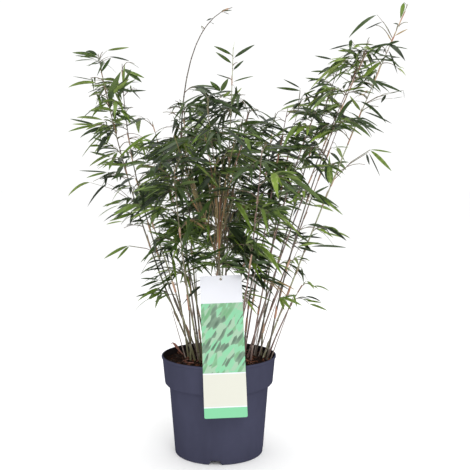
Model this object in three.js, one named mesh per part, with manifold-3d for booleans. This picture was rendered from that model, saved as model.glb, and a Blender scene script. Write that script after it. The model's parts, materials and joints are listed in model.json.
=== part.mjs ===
// A potted clumping bamboo: twenty-seven thin canes fan out of a round nursery pot, each one bare at
// its foot and leafy above, with a plain plant label that leans on the pot's rim.
// Millimetres, +Z up, origin at the centre of the pot's flat underside, front towards -Y.
import * as THREE from "three";
import { mergeVertices } from "three/addons/utils/BufferGeometryUtils.js";
import Module from "manifold-3d";

const wasm = await Module();
wasm.setup();

// Clearance between pieces that touch on the real plant.
const SEAT = 0.3;
const UP = new THREE.Vector3(0, 0, 1);

// Pot: a thin tapered wall under a wider collar, with a lip round the rim.
const POT_SEGMENTS = 32;
const POT_HEIGHT = 197.4;
const POT_WALL = 1.5;
const LIP_RADIUS = 115;
const LIP_DEPTH = 4.6;
const COLLAR_TOP_RADIUS = 113.1;
const COLLAR_FOOT_RADIUS = 108.8;
const COLLAR_FOOT_Z = 145;
const STEP_RADIUS = 101;
const STEP_TOP_Z = 141;
const STEP_FOOT_Z = 136.6;
const WALL_TOP_RADIUS = 99.3;
const WALL_TOP_Z = 132.5;
const WALL_FOOT_RADIUS = 88.9;
const FOOT_EDGE = 2;
const CHANNEL_OUTER = 80;
const CHANNEL_INNER = 60;
const CHANNEL_DEPTH = 10;
const CHANNEL_DRAFT = 2;
const BASE_THICK = 2;

// Openings under the pot: four notches through the foot ring and eight drain holes in the channel.
const NOTCHES = 4;
const NOTCH_WIDE = 28;
const NOTCH_NARROW = 16;
const NOTCH_HEIGHT = 9;
const NOTCH_TURN = THREE.MathUtils.degToRad(-3.5);
const DRAIN_HOLES = 8;
const DRAIN_RADIUS = 5;
const DRAIN_SIDES = 8;

// Soil: it fills the pot to a little below the rim.
const SOIL_Z = 186;
const SOIL_EDGE_DROP = 2;
const SOIL_FLAT_RADIUS = 106;

// Label: a thin card that hangs from a tie and leans back on the front of the rim.
const LABEL_WIDTH = 80;
const LABEL_LENGTH = 266;
const LABEL_THICK = 0.8;
const LABEL_CORNER = 3;
const LABEL_LEAN = THREE.MathUtils.degToRad(73.6);
const LABEL_TURN = THREE.MathUtils.degToRad(2.4);
const LABEL_SIDE = 12.2;
const LABEL_BELOW_RIM = 92.2;
const LABEL_HOLE_RADIUS = 2.5;
const LABEL_HOLE_INSET = 7;
const LABEL_MARGIN = 12;

// Tie: a thin string from a knot, through the label's hole, over its top edge and round a cane.
const TIE_RADIUS = 0.6;
const TIE_SIDES = 5;
const TIE_SEARCH = 200;
const TIE_STEPS = 22;
const TIE_KNOT_RADIUS = 1.7;
const TIE_CANE = "front_center";

// Canes: round at the foot, then a thinner three-sided stem through the leaves.
const CANE_SIDES = 5;
const CANE_STEPS = 5;
const CANE_FOOT_RADIUS = 2.5;
const CANE_TIP_RADIUS = 0.9;
const STEM_SIDES = 3;
const STEM_STEPS = 7;
const BARE_INSET = 0.01;

// Branches: they leave a cane by turns, arch outwards and droop.
const GOLDEN_TURN = 2.39996;
const TURN_PLAY = 0.9;
const OUTWARD_PULL = 0.3;
const RISE = 0.7;
const RISE_PLAY = 0.7;
const ARCH = 0.45;
const TURN_FROM = 0.3;
const TURN_SPAN = 0.5;
const LOW_LENGTH = 1.15;
const LENGTH_TAPER = 0.5;
const SHORTEST = 0.75;
const LENGTH_PLAY = 0.5;
const LEADER_FROM = 0.9;
const LEADER_PLAY = 0.5;
const TOPWARD = 0.75;
const BRANCH_STEPS = 3;
const BRANCH_ROOT_RADIUS = 1.2;
const BRANCH_TIP_RADIUS = 0.8;
const BRANCH_TRIES = 8;

// Leaves: long flat blades with a low ridge, in pairs along a branch with one more at its end. A
// short branch has one pair, a long one has two.
const ONE_PAIR_AT = [0.55];
const TWO_PAIRS_AT = [0.36, 0.7];
const TWO_PAIRS_FROM = 62;
const PAIR_LENGTH = 3;
const LEAF_LENGTH = 76;
const LEAF_LENGTH_PLAY = 0.3;
const LEAF_SHAPE = 0.205;
const LEAF_THICK = 0.016;
const LEAF_WIDEST = 0.34;
const LEAF_BEND = 0.08;
const LEAF_YAW = 0.6;
const LEAF_YAW_PLAY = 0.5;
const LEAF_FOLLOW = 0.5;
const LEAF_DROOP_PLAY = 0.6;
const LEAF_ROLL = 1.1;
const LEAF_TRIES = 6;
const LEAF_STREAM = 1000;

// Room that neighbours leave each other, and the reach of the whole crown.
const LIMB_ROOM = 2;
const LEAF_ROOM = 0.8;
const LEAF_CLEAR_FROM = 2.5;
const CROWN = new THREE.Box3(
  new THREE.Vector3(-308, -265, 215),
  new THREE.Vector3(370, 265, 892),
);
const TIDY = 0.02;

// Grids that a fused solid's corners are set on, coarsest first, so that it has no very short edges.
const GRIDS = [0.05, 0.03, 0.02];

// Branches that stand out from the crown: their cane, where they leave it as a fraction of it,
// which way they head, how long they are and the size of their leaves.
const LONE_BRANCHES = [
  ["right_far", 0.99, [-0.1, -0.8, 0.3], 12, 0.45],
  ["right_far", 0.9, [-0.45, 0.1, 0.95], 70, 0.8],
  ["right_far", 0.84, [0.9, 0.1, 0.3], 26, 0.45],
  ["right_far", 0.53, [0.8, 0, 0.8], 84, 0.8],
  ["right_far", 0.37, [0.8, -0.1, 0.8], 34, 0.75],
  ["left_tall", 0.6, [-0.9, -0.1, 0.35], 74, 0.9],
  ["left_tall", 0.44, [-0.9, -0.2, 0.4], 42, 0.85],
  ["left_tall", 0.86, [-0.8, 0.1, 0.5], 44, 0.85],
  ["left_tall", 0.95, [0.2, -0.6, 0.9], 30, 0.9],
  ["left_second", 0.88, [0.7, -0.3, 0.8], 46, 0.85],
  ["center_top", 0.94, [0.6, -0.1, 0.8], 16, 0.55],
  ["center_top", 0.97, [-0.6, -0.1, 0.8], 14, 0.55],
  ["center_top", 0.89, [-0.6, -0.1, 0.8], 18, 0.55],
  ["whip", 0.93, [0.5, -0.2, 0.6], 14, 0.25],
  ["whip", 0.8, [-0.4, -0.2, 0.8], 12, 0.2],
  ["right_third", 0.44, [0.9, 0, 0.7], 44, 0.85],
  ["right_third", 0.34, [0.9, 0, 0.5], 40, 0.8],
  ["right_second", 0.32, [0.8, -0.4, 0.6], 36, 0.75],
  ["left_outer", 0.5, [-0.8, -0.2, 0.4], 34, 0.75],
].map(([cane, place, heading, length, leafSize]) => ({
  cane,
  place,
  heading: new THREE.Vector3(...heading).normalize(),
  length,
  leafSize,
}));

// Each cane: its foot on the soil [x, y], the point at its middle, its tip, the stretch that carries
// branches (as fractions of the cane), how many branches, their length, the size of its leaves
// against the usual one, and the seed of its draws.
const CANES = [
  ["left_tall", [-52, 28], [-164, 15, 490], [-238, 10, 796], [0.48, 0.98], 9, 52, 0.9, 11],
  ["left_second", [-45, 55], [-160, 70, 500], [-200, 76, 786], [0.5, 0.98], 6, 48, 0.9, 12],
  ["left_low", [-48, -12], [-100, -60, 390], [-150, -100, 535], [0.66, 0.97], 3, 46, 0.9, 13],
  ["left_outer", [-62, 10], [-84, 12, 335], [-104, 0, 440], [0.6, 0.97], 3, 40, 0.8, 14],
  ["left_short", [-57, -7], [-62, -14, 320], [-84, -30, 406], [0.6, 0.97], 3, 38, 0.8, 15],
  ["front_left", [-36, -30], [-62, -108, 385], [-76, -165, 570], [0.5, 0.97], 5, 64, 1.1, 16],
  ["center_left", [-33, -4], [-56, -14, 450], [-66, -35, 690], [0.42, 0.96], 9, 72, 1.12, 17],
  ["whip", [-38, 20], [-72, 20, 690], [27, 25, 889], [0.3, 0.5], 6, 64, 1.0, 18],
  ["center_top", [-5, 10], [16, 10, 506], [29, 10, 808], [0.36, 0.84], 8, 66, 1.05, 19],
  ["arch_left", [3, -18], [-12, -62, 430], [-104, -165, 570], [0.5, 0.97], 3, 62, 1.05, 20],
  ["center_right", [14, 24], [20, 32, 446], [64, 42, 700], [0.4, 0.96], 9, 76, 1.12, 21],
  ["front_center", [-12, -38], [2, -66, 432], [-18, -140, 680], [0.46, 0.97], 8, 74, 1.15, 22],
  ["front_right", [32, -28], [62, -100, 400], [80, -160, 600], [0.46, 0.97], 5, 68, 1.1, 23],
  ["front_low", [16, -8], [38, -34, 330], [62, -70, 430], [0.5, 0.97], 4, 54, 1.05, 35],
  ["middle_low", [-16, -14], [-6, -30, 330], [6, -60, 430], [0.55, 0.97], 4, 54, 1.05, 36],
  ["right_inner", [50, 2], [94, 8, 455], [138, 20, 690], [0.5, 0.96], 4, 56, 0.95, 24],
  ["right_mid", [64, -8], [120, -4, 465], [206, 0, 716], [0.46, 0.97], 6, 56, 0.9, 25],
  ["right_second", [74, 28], [148, 38, 478], [240, 50, 768], [0.46, 0.97], 7, 56, 0.9, 26],
  ["right_upright", [86, 36], [115, 65, 445], [165, 100, 696], [0.42, 0.97], 4, 60, 1.05, 27],
  ["right_far", [90, 12], [222, -4, 535], [366, -20, 886], [0.56, 0.94], 5, 48, 0.85, 28],
  ["right_third", [97, -4], [165, -30, 482], [282, -50, 790], [0.5, 0.98], 8, 54, 0.95, 29],
  ["right_low", [99, 16], [133, 6, 272], [166, -12, 338], [0.55, 0.95], 2, 30, 0.55, 30],
  ["right_crest", [58, 14], [160, 10, 490], [298, 14, 822], [0.55, 0.98], 8, 46, 0.9, 37],
  ["back_left", [-25, 54], [-86, 120, 440], [-150, 180, 675], [0.44, 0.97], 5, 74, 1.15, 31],
  ["back_middle", [5, 62], [-4, 130, 461], [-12, 195, 730], [0.42, 0.97], 6, 76, 1.15, 32],
  ["back_right", [50, 54], [82, 120, 440], [122, 190, 695], [0.42, 0.97], 5, 74, 1.15, 33],
  ["back_far_right", [74, 52], [170, 104, 441], [270, 140, 700], [0.54, 0.97], 4, 60, 1.0, 34],
].map(([name, foot, middle, tip, leafy, branches, reach, leafSize, seed]) => ({
  name,
  leafy,
  branches,
  reach,
  leafSize,
  seed,
  path: canePath(foot, middle, tip),
  bareTo: Math.min(leafy[0], ...lonePlaces(name)) - BARE_INSET,
}));

const finish = (color, roughness, metalness = 0) =>
  new THREE.MeshStandardMaterial({ color, roughness, metalness });
const POT_PLASTIC = finish(0x41454f, 0.5);
const PEAT = finish(0x3a2a20, 0.95);
const CARD = finish(0xe9efe9, 0.45);
const STRING = finish(0xd8d4c6, 0.8);
const CANE_BARK = finish(0x6d5a3c, 0.6);
const LEAF_GREEN = finish(0x3c5a30, 0.6);

// A repeatable stream of draws from 0 to 1.
function draws(seed) {
  let state = seed;
  return () => {
    state = (state + 0x6d2b79f5) | 0;
    let mixed = Math.imul(state ^ (state >>> 15), 1 | state);
    mixed = (mixed + Math.imul(mixed ^ (mixed >>> 7), 61 | mixed)) ^ mixed;
    return ((mixed ^ (mixed >>> 14)) >>> 0) / 4294967296;
  };
}

// Where the branches that stand out leave one cane.
function lonePlaces(name) {
  return LONE_BRANCHES.filter(({ cane }) => cane === name).map(({ place }) => place);
}

// The curve of a cane, from the soil through its middle to its tip.
function canePath(foot, middle, tip) {
  const start = new THREE.Vector3(foot[0], foot[1], SOIL_Z + SEAT);
  const end = new THREE.Vector3(...tip);
  const bend = new THREE.Vector3(...middle)
    .multiplyScalar(2)
    .sub(start.clone().add(end).multiplyScalar(0.5));
  return new THREE.QuadraticBezierCurve3(start, bend, end);
}

// A closed solid from any closed geometry.
function solidOf(geometry) {
  const bare = geometry.clone();
  bare.deleteAttribute("normal");
  bare.deleteAttribute("uv");
  const merged = mergeVertices(bare, 1e-4);
  const corners = merged.index.array;
  const faces = [];
  for (let i = 0; i < corners.length; i += 3) {
    const [a, b, c] = corners.slice(i, i + 3);
    if (a !== b && b !== c && c !== a) faces.push(a, b, c);
  }
  return new wasm.Manifold(
    new wasm.Mesh({
      numProp: 3,
      vertProperties: new Float32Array(merged.attributes.position.array),
      triVerts: new Uint32Array(faces),
    }),
  );
}

function geometryOf(solid) {
  const { vertProperties, triVerts } = solid.getMesh();
  const geometry = new THREE.BufferGeometry();
  geometry.setAttribute("position", new THREE.BufferAttribute(vertProperties, 3));
  geometry.setIndex(new THREE.BufferAttribute(triVerts, 1));
  geometry.computeVertexNormals();
  return geometry;
}

// True where every edge of a solid, told by the places of its ends, borders just two faces.
function isSimple(solid) {
  const { vertProperties, triVerts } = solid.getMesh();
  const placeOf = (corner) => vertProperties.slice(3 * corner, 3 * corner + 3).join();
  const borders = new Map();
  triVerts.forEach((corner, i) => {
    const next = triVerts[i % 3 === 2 ? i - 2 : i + 1];
    const edge = [placeOf(corner), placeOf(next)].sort().join(" ");
    borders.set(edge, (borders.get(edge) ?? 0) + 1);
  });
  return [...borders.values()].every((count) => count === 2);
}

// The same solid with its corners set on the coarsest grid that keeps it closed and in one body.
function onGrid(solid) {
  const geometry = geometryOf(solid);
  for (const grid of GRIDS) {
    const snapped = geometry.clone();
    const places = snapped.attributes.position.array;
    places.forEach((value, i) => {
      places[i] = Math.round(value / grid) * grid;
    });
    try {
      const tidied = solidOf(snapped);
      if (tidied.decompose().length === 1 && isSimple(tidied)) return tidied;
    } catch {
      continue;
    }
  }
  return solid;
}

// The largest body of a solid, without loose scraps or sealed hollows.
function mainBody(solid) {
  const bodies = solid.decompose();
  return bodies.reduce((best, body) => (body.volume() > best.volume() ? body : best));
}

function namedMesh(name, geometry, material) {
  const mesh = new THREE.Mesh(geometry, material.clone());
  mesh.name = name;
  return mesh;
}

// A tapering limb along a list of points, its foot cut level when levelFoot is set.
function limb(points, radii, sides, levelFoot = false) {
  const corners = [];
  const side = new THREE.Vector3();
  const across = new THREE.Vector3();
  const tangent = new THREE.Vector3();
  points.forEach((point, i) => {
    const before = points[Math.max(i - 1, 0)];
    const after = points[Math.min(i + 1, points.length - 1)];
    tangent.subVectors(after, before).normalize();
    if (levelFoot && i === 0) tangent.copy(UP);
    if (i === 0) side.set(1, 0, 0);
    if (i === 0 && Math.abs(tangent.x) > 0.8) side.set(0, 1, 0);
    side.addScaledVector(tangent, -side.dot(tangent)).normalize();
    across.crossVectors(tangent, side);
    for (let k = 0; k < sides; k++) {
      const angle = (k / sides) * 2 * Math.PI;
      const corner = point.clone();
      corner.addScaledVector(side, radii[i] * Math.cos(angle));
      corner.addScaledVector(across, radii[i] * Math.sin(angle));
      corners.push(corner);
    }
  });
  const faces = [];
  const last = (points.length - 1) * sides;
  for (let i = 0; i < points.length - 1; i++) {
    for (let k = 0; k < sides; k++) {
      const a = i * sides + k;
      const b = i * sides + ((k + 1) % sides);
      faces.push(a, b, a + sides, b, b + sides, a + sides);
    }
  }
  for (let k = 1; k < sides - 1; k++) {
    faces.push(0, k + 1, k, last, last + k, last + k + 1);
  }
  return faceted(corners, faces);
}

// A closed geometry from its corners and its faces.
function faceted(corners, faces) {
  const geometry = new THREE.BufferGeometry();
  const places = corners.flatMap((corner) => corner.toArray());
  geometry.setAttribute("position", new THREE.Float32BufferAttribute(places, 3));
  geometry.setIndex(faces);
  geometry.computeVertexNormals();
  return geometry;
}

function pot() {
  const inner = (radius) => radius - POT_WALL;
  const floorZ = CHANNEL_DEPTH + BASE_THICK;
  const profile = [
    [0, 0],
    [CHANNEL_INNER - CHANNEL_DRAFT, 0],
    [CHANNEL_INNER + CHANNEL_DRAFT, CHANNEL_DEPTH],
    [CHANNEL_OUTER - CHANNEL_DRAFT, CHANNEL_DEPTH],
    [CHANNEL_OUTER, 0],
    [WALL_FOOT_RADIUS - FOOT_EDGE, 0],
    [WALL_FOOT_RADIUS, FOOT_EDGE],
    [WALL_TOP_RADIUS, WALL_TOP_Z],
    [STEP_RADIUS, STEP_FOOT_Z],
    [COLLAR_FOOT_RADIUS - 2, STEP_TOP_Z],
    [COLLAR_FOOT_RADIUS, COLLAR_FOOT_Z],
    [COLLAR_TOP_RADIUS, POT_HEIGHT - LIP_DEPTH - 1.5],
    [LIP_RADIUS, POT_HEIGHT - LIP_DEPTH],
    [LIP_RADIUS, POT_HEIGHT],
    [inner(COLLAR_TOP_RADIUS), POT_HEIGHT],
    [inner(COLLAR_FOOT_RADIUS), COLLAR_FOOT_Z + 1],
    [inner(COLLAR_FOOT_RADIUS) - 2, STEP_TOP_Z + POT_WALL],
    [inner(STEP_RADIUS), STEP_FOOT_Z + POT_WALL],
    [inner(WALL_TOP_RADIUS), WALL_TOP_Z],
    [inner(WALL_FOOT_RADIUS) + 1, floorZ],
    [CHANNEL_INNER - CHANNEL_DRAFT, floorZ],
    [CHANNEL_INNER - 3 * CHANNEL_DRAFT, BASE_THICK],
    [0, BASE_THICK],
  ].map(([radius, z]) => new THREE.Vector2(radius, z));
  const turned = new THREE.LatheGeometry(profile, POT_SEGMENTS).rotateX(Math.PI / 2);
  let solid = solidOf(turned);
  for (let i = 0; i < NOTCHES; i++) {
    solid = solid.subtract(solidOf(notch(NOTCH_TURN + (i / NOTCHES) * 2 * Math.PI)));
  }
  const holeRing = (CHANNEL_INNER + CHANNEL_OUTER) / 2;
  for (let i = 0; i < DRAIN_HOLES; i++) {
    const angle = ((i + 0.5) / DRAIN_HOLES) * 2 * Math.PI;
    const hole = new THREE.CylinderGeometry(DRAIN_RADIUS, DRAIN_RADIUS, 4 * BASE_THICK, DRAIN_SIDES)
      .rotateX(Math.PI / 2)
      .translate(holeRing * Math.cos(angle), holeRing * Math.sin(angle), floorZ - BASE_THICK / 2);
    solid = solid.subtract(solidOf(hole));
  }
  return namedMesh("pot", geometryOf(mainBody(solid)), POT_PLASTIC);
}

// One tapered notch through the foot ring, turned about the pot's axis from the front.
function notch(turn) {
  const outline = new THREE.Shape();
  outline.moveTo(-NOTCH_WIDE / 2, -1);
  outline.lineTo(NOTCH_WIDE / 2, -1);
  outline.lineTo(NOTCH_NARROW / 2, NOTCH_HEIGHT);
  outline.lineTo(-NOTCH_NARROW / 2, NOTCH_HEIGHT);
  const depth = WALL_FOOT_RADIUS - CHANNEL_INNER;
  return new THREE.ExtrudeGeometry(outline, { depth, bevelEnabled: false })
    .rotateX(Math.PI / 2)
    .translate(0, -(CHANNEL_INNER + CHANNEL_DRAFT + 4), 0)
    .rotateZ(turn);
}

function soil() {
  const inside = (radius) => radius - POT_WALL - SEAT;
  const floorZ = CHANNEL_DEPTH + BASE_THICK + SEAT;
  const collarSlope = (COLLAR_TOP_RADIUS - COLLAR_FOOT_RADIUS) / (POT_HEIGHT - COLLAR_FOOT_Z);
  const edgeZ = SOIL_Z - SOIL_EDGE_DROP;
  const edgeRadius = inside(COLLAR_FOOT_RADIUS) + collarSlope * (edgeZ - COLLAR_FOOT_Z) - SEAT;
  const profile = [
    [0, BASE_THICK + SEAT],
    [CHANNEL_INNER - 3 * CHANNEL_DRAFT - SEAT, BASE_THICK + SEAT],
    [CHANNEL_INNER - CHANNEL_DRAFT - SEAT, floorZ],
    [inside(WALL_FOOT_RADIUS) + 0.5, floorZ],
    [inside(WALL_TOP_RADIUS) - SEAT, WALL_TOP_Z],
    [inside(STEP_RADIUS) - SEAT, STEP_FOOT_Z + POT_WALL + 2 * SEAT],
    [inside(COLLAR_FOOT_RADIUS) - 2 - SEAT, STEP_TOP_Z + POT_WALL + 2 * SEAT],
    [inside(COLLAR_FOOT_RADIUS) - SEAT, COLLAR_FOOT_Z + 2],
    [edgeRadius, edgeZ],
    [SOIL_FLAT_RADIUS, SOIL_Z],
    [0, SOIL_Z],
  ].map(([radius, z]) => new THREE.Vector2(radius, z));
  const turned = new THREE.LatheGeometry(profile, POT_SEGMENTS).rotateX(Math.PI / 2);
  return namedMesh("soil", geometryOf(solidOf(turned)), PEAT);
}

// The label's own frame: X across it, Y up it, Z out of its front, seated on the rim's front edge.
function labelFrame() {
  const frame = new THREE.Group();
  frame.rotation.set(LABEL_LEAN, 0, LABEL_TURN);
  frame.updateMatrix();
  const front = new THREE.Vector3(0, 0, 1).applyEuler(frame.rotation);
  frame.position.set(0, -LIP_RADIUS, POT_HEIGHT).addScaledVector(front, SEAT);
  frame.updateMatrix();
  return frame;
}

function labelCard() {
  const left = LABEL_SIDE - LABEL_WIDTH / 2;
  const right = LABEL_SIDE + LABEL_WIDTH / 2;
  const foot = -LABEL_BELOW_RIM;
  const top = foot + LABEL_LENGTH;
  const outline = new THREE.Shape();
  outline.moveTo(left + LABEL_CORNER, foot);
  outline.lineTo(right - LABEL_CORNER, foot);
  outline.quadraticCurveTo(right, foot, right, foot + LABEL_CORNER);
  outline.lineTo(right, top - LABEL_CORNER);
  outline.quadraticCurveTo(right, top, right - LABEL_CORNER, top);
  outline.lineTo(left + LABEL_CORNER, top);
  outline.quadraticCurveTo(left, top, left, top - LABEL_CORNER);
  outline.lineTo(left, foot + LABEL_CORNER);
  outline.quadraticCurveTo(left, foot, left + LABEL_CORNER, foot);
  const hole = new THREE.Path();
  hole.absarc(LABEL_SIDE, top - LABEL_HOLE_INSET, LABEL_HOLE_RADIUS, 0, 2 * Math.PI, true);
  outline.holes.push(hole);
  const card = new THREE.ExtrudeGeometry(outline, {
    depth: LABEL_THICK,
    bevelEnabled: false,
    curveSegments: 6,
  });
  return namedMesh("label_card", geometryOf(solidOf(card)), CARD);
}

// The string's turns: out through the hole, up over the label's edge and round the cane behind.
function labelTie(frame) {
  const topEdge = LABEL_LENGTH - LABEL_BELOW_RIM;
  const onLabel = (aside, above, out) =>
    new THREE.Vector3(LABEL_SIDE + aside, topEdge + above, out).applyMatrix4(frame.matrix);
  const holeTop = LABEL_HOLE_RADIUS - LABEL_HOLE_INSET - TIE_RADIUS - SEAT;
  const hole = onLabel(0, holeTop, 0);
  const { path } = CANES.find((cane) => cane.name === TIE_CANE);
  const cane = path.getPoints(TIE_SEARCH).reduce((best, point) => {
    return Math.abs(point.z - hole.z) < Math.abs(best.z - hole.z) ? point : best;
  });
  const loose = CANE_FOOT_RADIUS + 3 * TIE_RADIUS;
  const beside = (x, y, z) => cane.clone().add(new THREE.Vector3(x, y, z));
  const knot = onLabel(0, -LABEL_HOLE_INSET, -5);
  const stops = [
    knot,
    hole,
    onLabel(0, holeTop, LABEL_THICK + TIE_RADIUS),
    onLabel(0.5, 0, LABEL_THICK + 2.4),
    onLabel(1.5, 2.2, LABEL_THICK / 2),
    onLabel(2.5, 0, -5),
    beside(loose, -3, 2),
    beside(loose - 1, loose - 1, 0),
    beside(0, loose + 0.6, -1),
    beside(1 - loose, loose - 1, -1),
    beside(-loose, -3, -1),
    knot,
  ];
  const curve = new THREE.CatmullRomCurve3(stops);
  const points = curve.getPoints(TIE_STEPS);
  const string = limb(points, points.map(() => TIE_RADIUS), TIE_SIDES);
  const ball = new THREE.IcosahedronGeometry(TIE_KNOT_RADIUS).translate(knot.x, knot.y, knot.z);
  const tie = solidOf(string).add(solidOf(ball)).simplify(TIDY);
  return namedMesh("label_tie", geometryOf(mainBody(tie)), STRING);
}

// A limb as straight segments with one radius, for the clearance that neighbours keep.
function segmentsOf(points, radius, owner) {
  return points.slice(1).map((end, i) => ({
    line: new THREE.Line3(points[i], end),
    radius,
    owner,
  }));
}

// True where a point is in the crown's reach and clear of the label and the space in front of it.
function inOpenAir(point, toLabel) {
  if (!CROWN.containsPoint(point)) return false;
  const local = point.clone().applyMatrix4(toLabel);
  const aside = Math.abs(local.x - LABEL_SIDE) - LABEL_WIDTH / 2;
  const above = local.y - (LABEL_LENGTH - LABEL_BELOW_RIM);
  return !(aside < LABEL_MARGIN && above < LABEL_MARGIN / 2 && local.z > -LABEL_MARGIN);
}

// True where limb segments keep their distance from every limb of the other canes.
function isClear(segments, limbs) {
  return segments.every(({ line, radius, owner }) =>
    limbs.every((other) => {
      if (other.owner === owner) return true;
      const least = radius + other.radius + LIMB_ROOM;
      return line.distanceSqToLine3(other.line) > least * least;
    }),
  );
}

// A point of a branch, which arches over, and the direction of travel there.
function onBranch({ root, heading, length }, along) {
  const at = root.clone().addScaledVector(heading, length * along);
  at.z -= ARCH * length * along * along;
  const travel = heading.clone();
  travel.z -= 2 * ARCH * along;
  return { at, travel: travel.normalize() };
}

function branchPoints(branch) {
  const points = [];
  for (let i = 0; i <= BRANCH_STEPS; i++) points.push(onBranch(branch, i / BRANCH_STEPS).at);
  return points;
}

// The branches of one cane: those that stand out, then the others by turns round it, longest low
// down, and a leader that carries on from its tip. A branch that finds no room is left out.
function branchesOf(cane, limbs, toLabel) {
  const draw = draws(cane.seed);
  const grown = [];
  const grow = (branch) => {
    const points = branchPoints(branch);
    const segments = segmentsOf(points, BRANCH_ROOT_RADIUS, cane.name);
    if (!points.every((point) => inOpenAir(point, toLabel)) || !isClear(segments, limbs)) return false;
    limbs.push(...segments);
    grown.push(branch);
    return true;
  };
  for (const lone of LONE_BRANCHES.filter((branch) => branch.cane === cane.name)) {
    const { place, heading, length, leafSize } = lone;
    grow({ root: cane.path.getPoint(place), heading, length, leafSize });
  }
  const [from, to] = cane.leafy;
  for (let k = 0; k < cane.branches; k++) {
    const leads = k === cane.branches - 1 && to > LEADER_FROM;
    const turnShare = (k + TURN_FROM + TURN_SPAN * draw()) / cane.branches;
    const share = leads ? 1 : Math.pow(turnShare, TOPWARD);
    const place = from + (to - from) * share;
    const root = cane.path.getPoint(place);
    const outward = new THREE.Vector3(root.x, root.y, 0).normalize();
    for (let attempt = 0; attempt < BRANCH_TRIES; attempt++) {
      const turn = (k + attempt) * GOLDEN_TURN + cane.seed + TURN_PLAY * draw();
      const taper = LOW_LENGTH - LENGTH_TAPER * share;
      const length = cane.reach * taper * (SHORTEST + LENGTH_PLAY * draw());
      const heading = new THREE.Vector3(Math.cos(turn), Math.sin(turn), 0);
      if (leads) {
        heading.multiplyScalar(LEADER_PLAY).add(cane.path.getTangent(place));
      } else {
        heading.addScaledVector(outward, OUTWARD_PULL).normalize();
        heading.z = RISE + RISE_PLAY * draw();
      }
      if (grow({ root, heading: heading.normalize(), length, leafSize: cane.leafSize })) break;
    }
  }
  return grown;
}

const pairPlaces = ({ length }) => (length < TWO_PAIRS_FROM ? ONE_PAIR_AT : TWO_PAIRS_AT);

// The three corners of a branch at a point along it: on top, low on its left, low on its right.
function ringOf(branch, along) {
  const { at, travel } = onBranch(branch, along);
  const left = UP.clone().cross(travel).normalize();
  const top = travel.clone().cross(left);
  const radius = THREE.MathUtils.lerp(BRANCH_ROOT_RADIUS, BRANCH_TIP_RADIUS, along);
  return [90, 210, 330].map((degrees) => {
    const angle = THREE.MathUtils.degToRad(degrees);
    return at
      .clone()
      .addScaledVector(left, -radius * Math.cos(angle))
      .addScaledVector(top, radius * Math.sin(angle));
  });
}

// A leaf's own frame: a point so far along it, to its left and above it.
function inLeaf({ root, heading, roll }) {
  const left = UP.clone().cross(heading).normalize().applyAxisAngle(heading, roll);
  const normal = heading.clone().cross(left);
  return (along, aside, high) =>
    root
      .clone()
      .addScaledVector(heading, along)
      .addScaledVector(left, aside)
      .addScaledVector(normal, high);
}

// The widest section and the tip of a leaf: [ridge, left edge, right edge, tip]. A swollen leaf is
// that much thicker and wider all round.
function bladeCorners(leaf, swell = 0) {
  const corner = inLeaf(leaf);
  const widest = LEAF_WIDEST * leaf.length;
  const halfWidth = (LEAF_SHAPE * leaf.length) / 2 + 2 * swell;
  return [
    corner(widest, 0, LEAF_THICK * leaf.length + swell),
    corner(widest, halfWidth, -swell),
    corner(widest, -halfWidth, -swell),
    corner(leaf.length + 2 * swell, 0, -LEAF_BEND * leaf.length),
  ];
}

// Six times the volume that a face spans with the origin.
const spanned = (a, b, c) => a.dot(b.clone().cross(c));

// The nine faces that a leaf adds to the three corners [top, left, right] that it grows from. Each
// four-sided one is split along the diagonal that bulges outwards.
function bladeFaces([top, left, right], first, corners) {
  const [ridge, leftEdge, rightEdge, tip] = [first, first + 1, first + 2, first + 3];
  const ring = [
    [top, left, ridge, leftEdge],
    [left, right, leftEdge, rightEdge],
    [right, top, rightEdge, ridge],
  ];
  return ring.flatMap(([a, b, c, d]) => {
    const [pa, pb, pc, pd] = [a, b, c, d].map((i) => corners[i]);
    const split = spanned(pa, pc, pb) + spanned(pb, pc, pd);
    const other = spanned(pa, pc, pd) + spanned(pa, pd, pb);
    const sides = split > other ? [a, c, b, b, c, d] : [a, c, d, a, d, b];
    return [...sides, c, tip, d];
  });
}

// The swollen body of a leaf from just off its branch, for the room that it needs.
function leafRoom(leaf) {
  const corner = inLeaf(leaf);
  const half = PAIR_LENGTH / 2 + LEAF_ROOM / 2;
  const base = [
    corner(LEAF_CLEAR_FROM, 0, half),
    corner(LEAF_CLEAR_FROM, half, -half),
    corner(LEAF_CLEAR_FROM, -half, -half),
  ];
  const corners = [...base, ...bladeCorners(leaf, LEAF_ROOM)];
  return faceted(corners, [0, 1, 2, ...bladeFaces([0, 1, 2], 3, corners)]);
}

// The six side faces between two rings of a branch. Where a leaf grows out of the left or the right
// side, the face under it is left out.
function sideFaces(low, high, leafOnLeft, leafOnRight) {
  const [top, left, right] = [low, low + 1, low + 2];
  const [nextTop, nextLeft, nextRight] = [high, high + 1, high + 2];
  const faces = [top, nextTop, nextLeft, right, nextTop, top];
  faces.push(left, nextRight, right, left, nextLeft, nextRight);
  if (!leafOnLeft) faces.push(top, nextLeft, left);
  if (!leafOnRight) faces.push(right, nextRight, nextTop);
  return faces;
}

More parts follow.
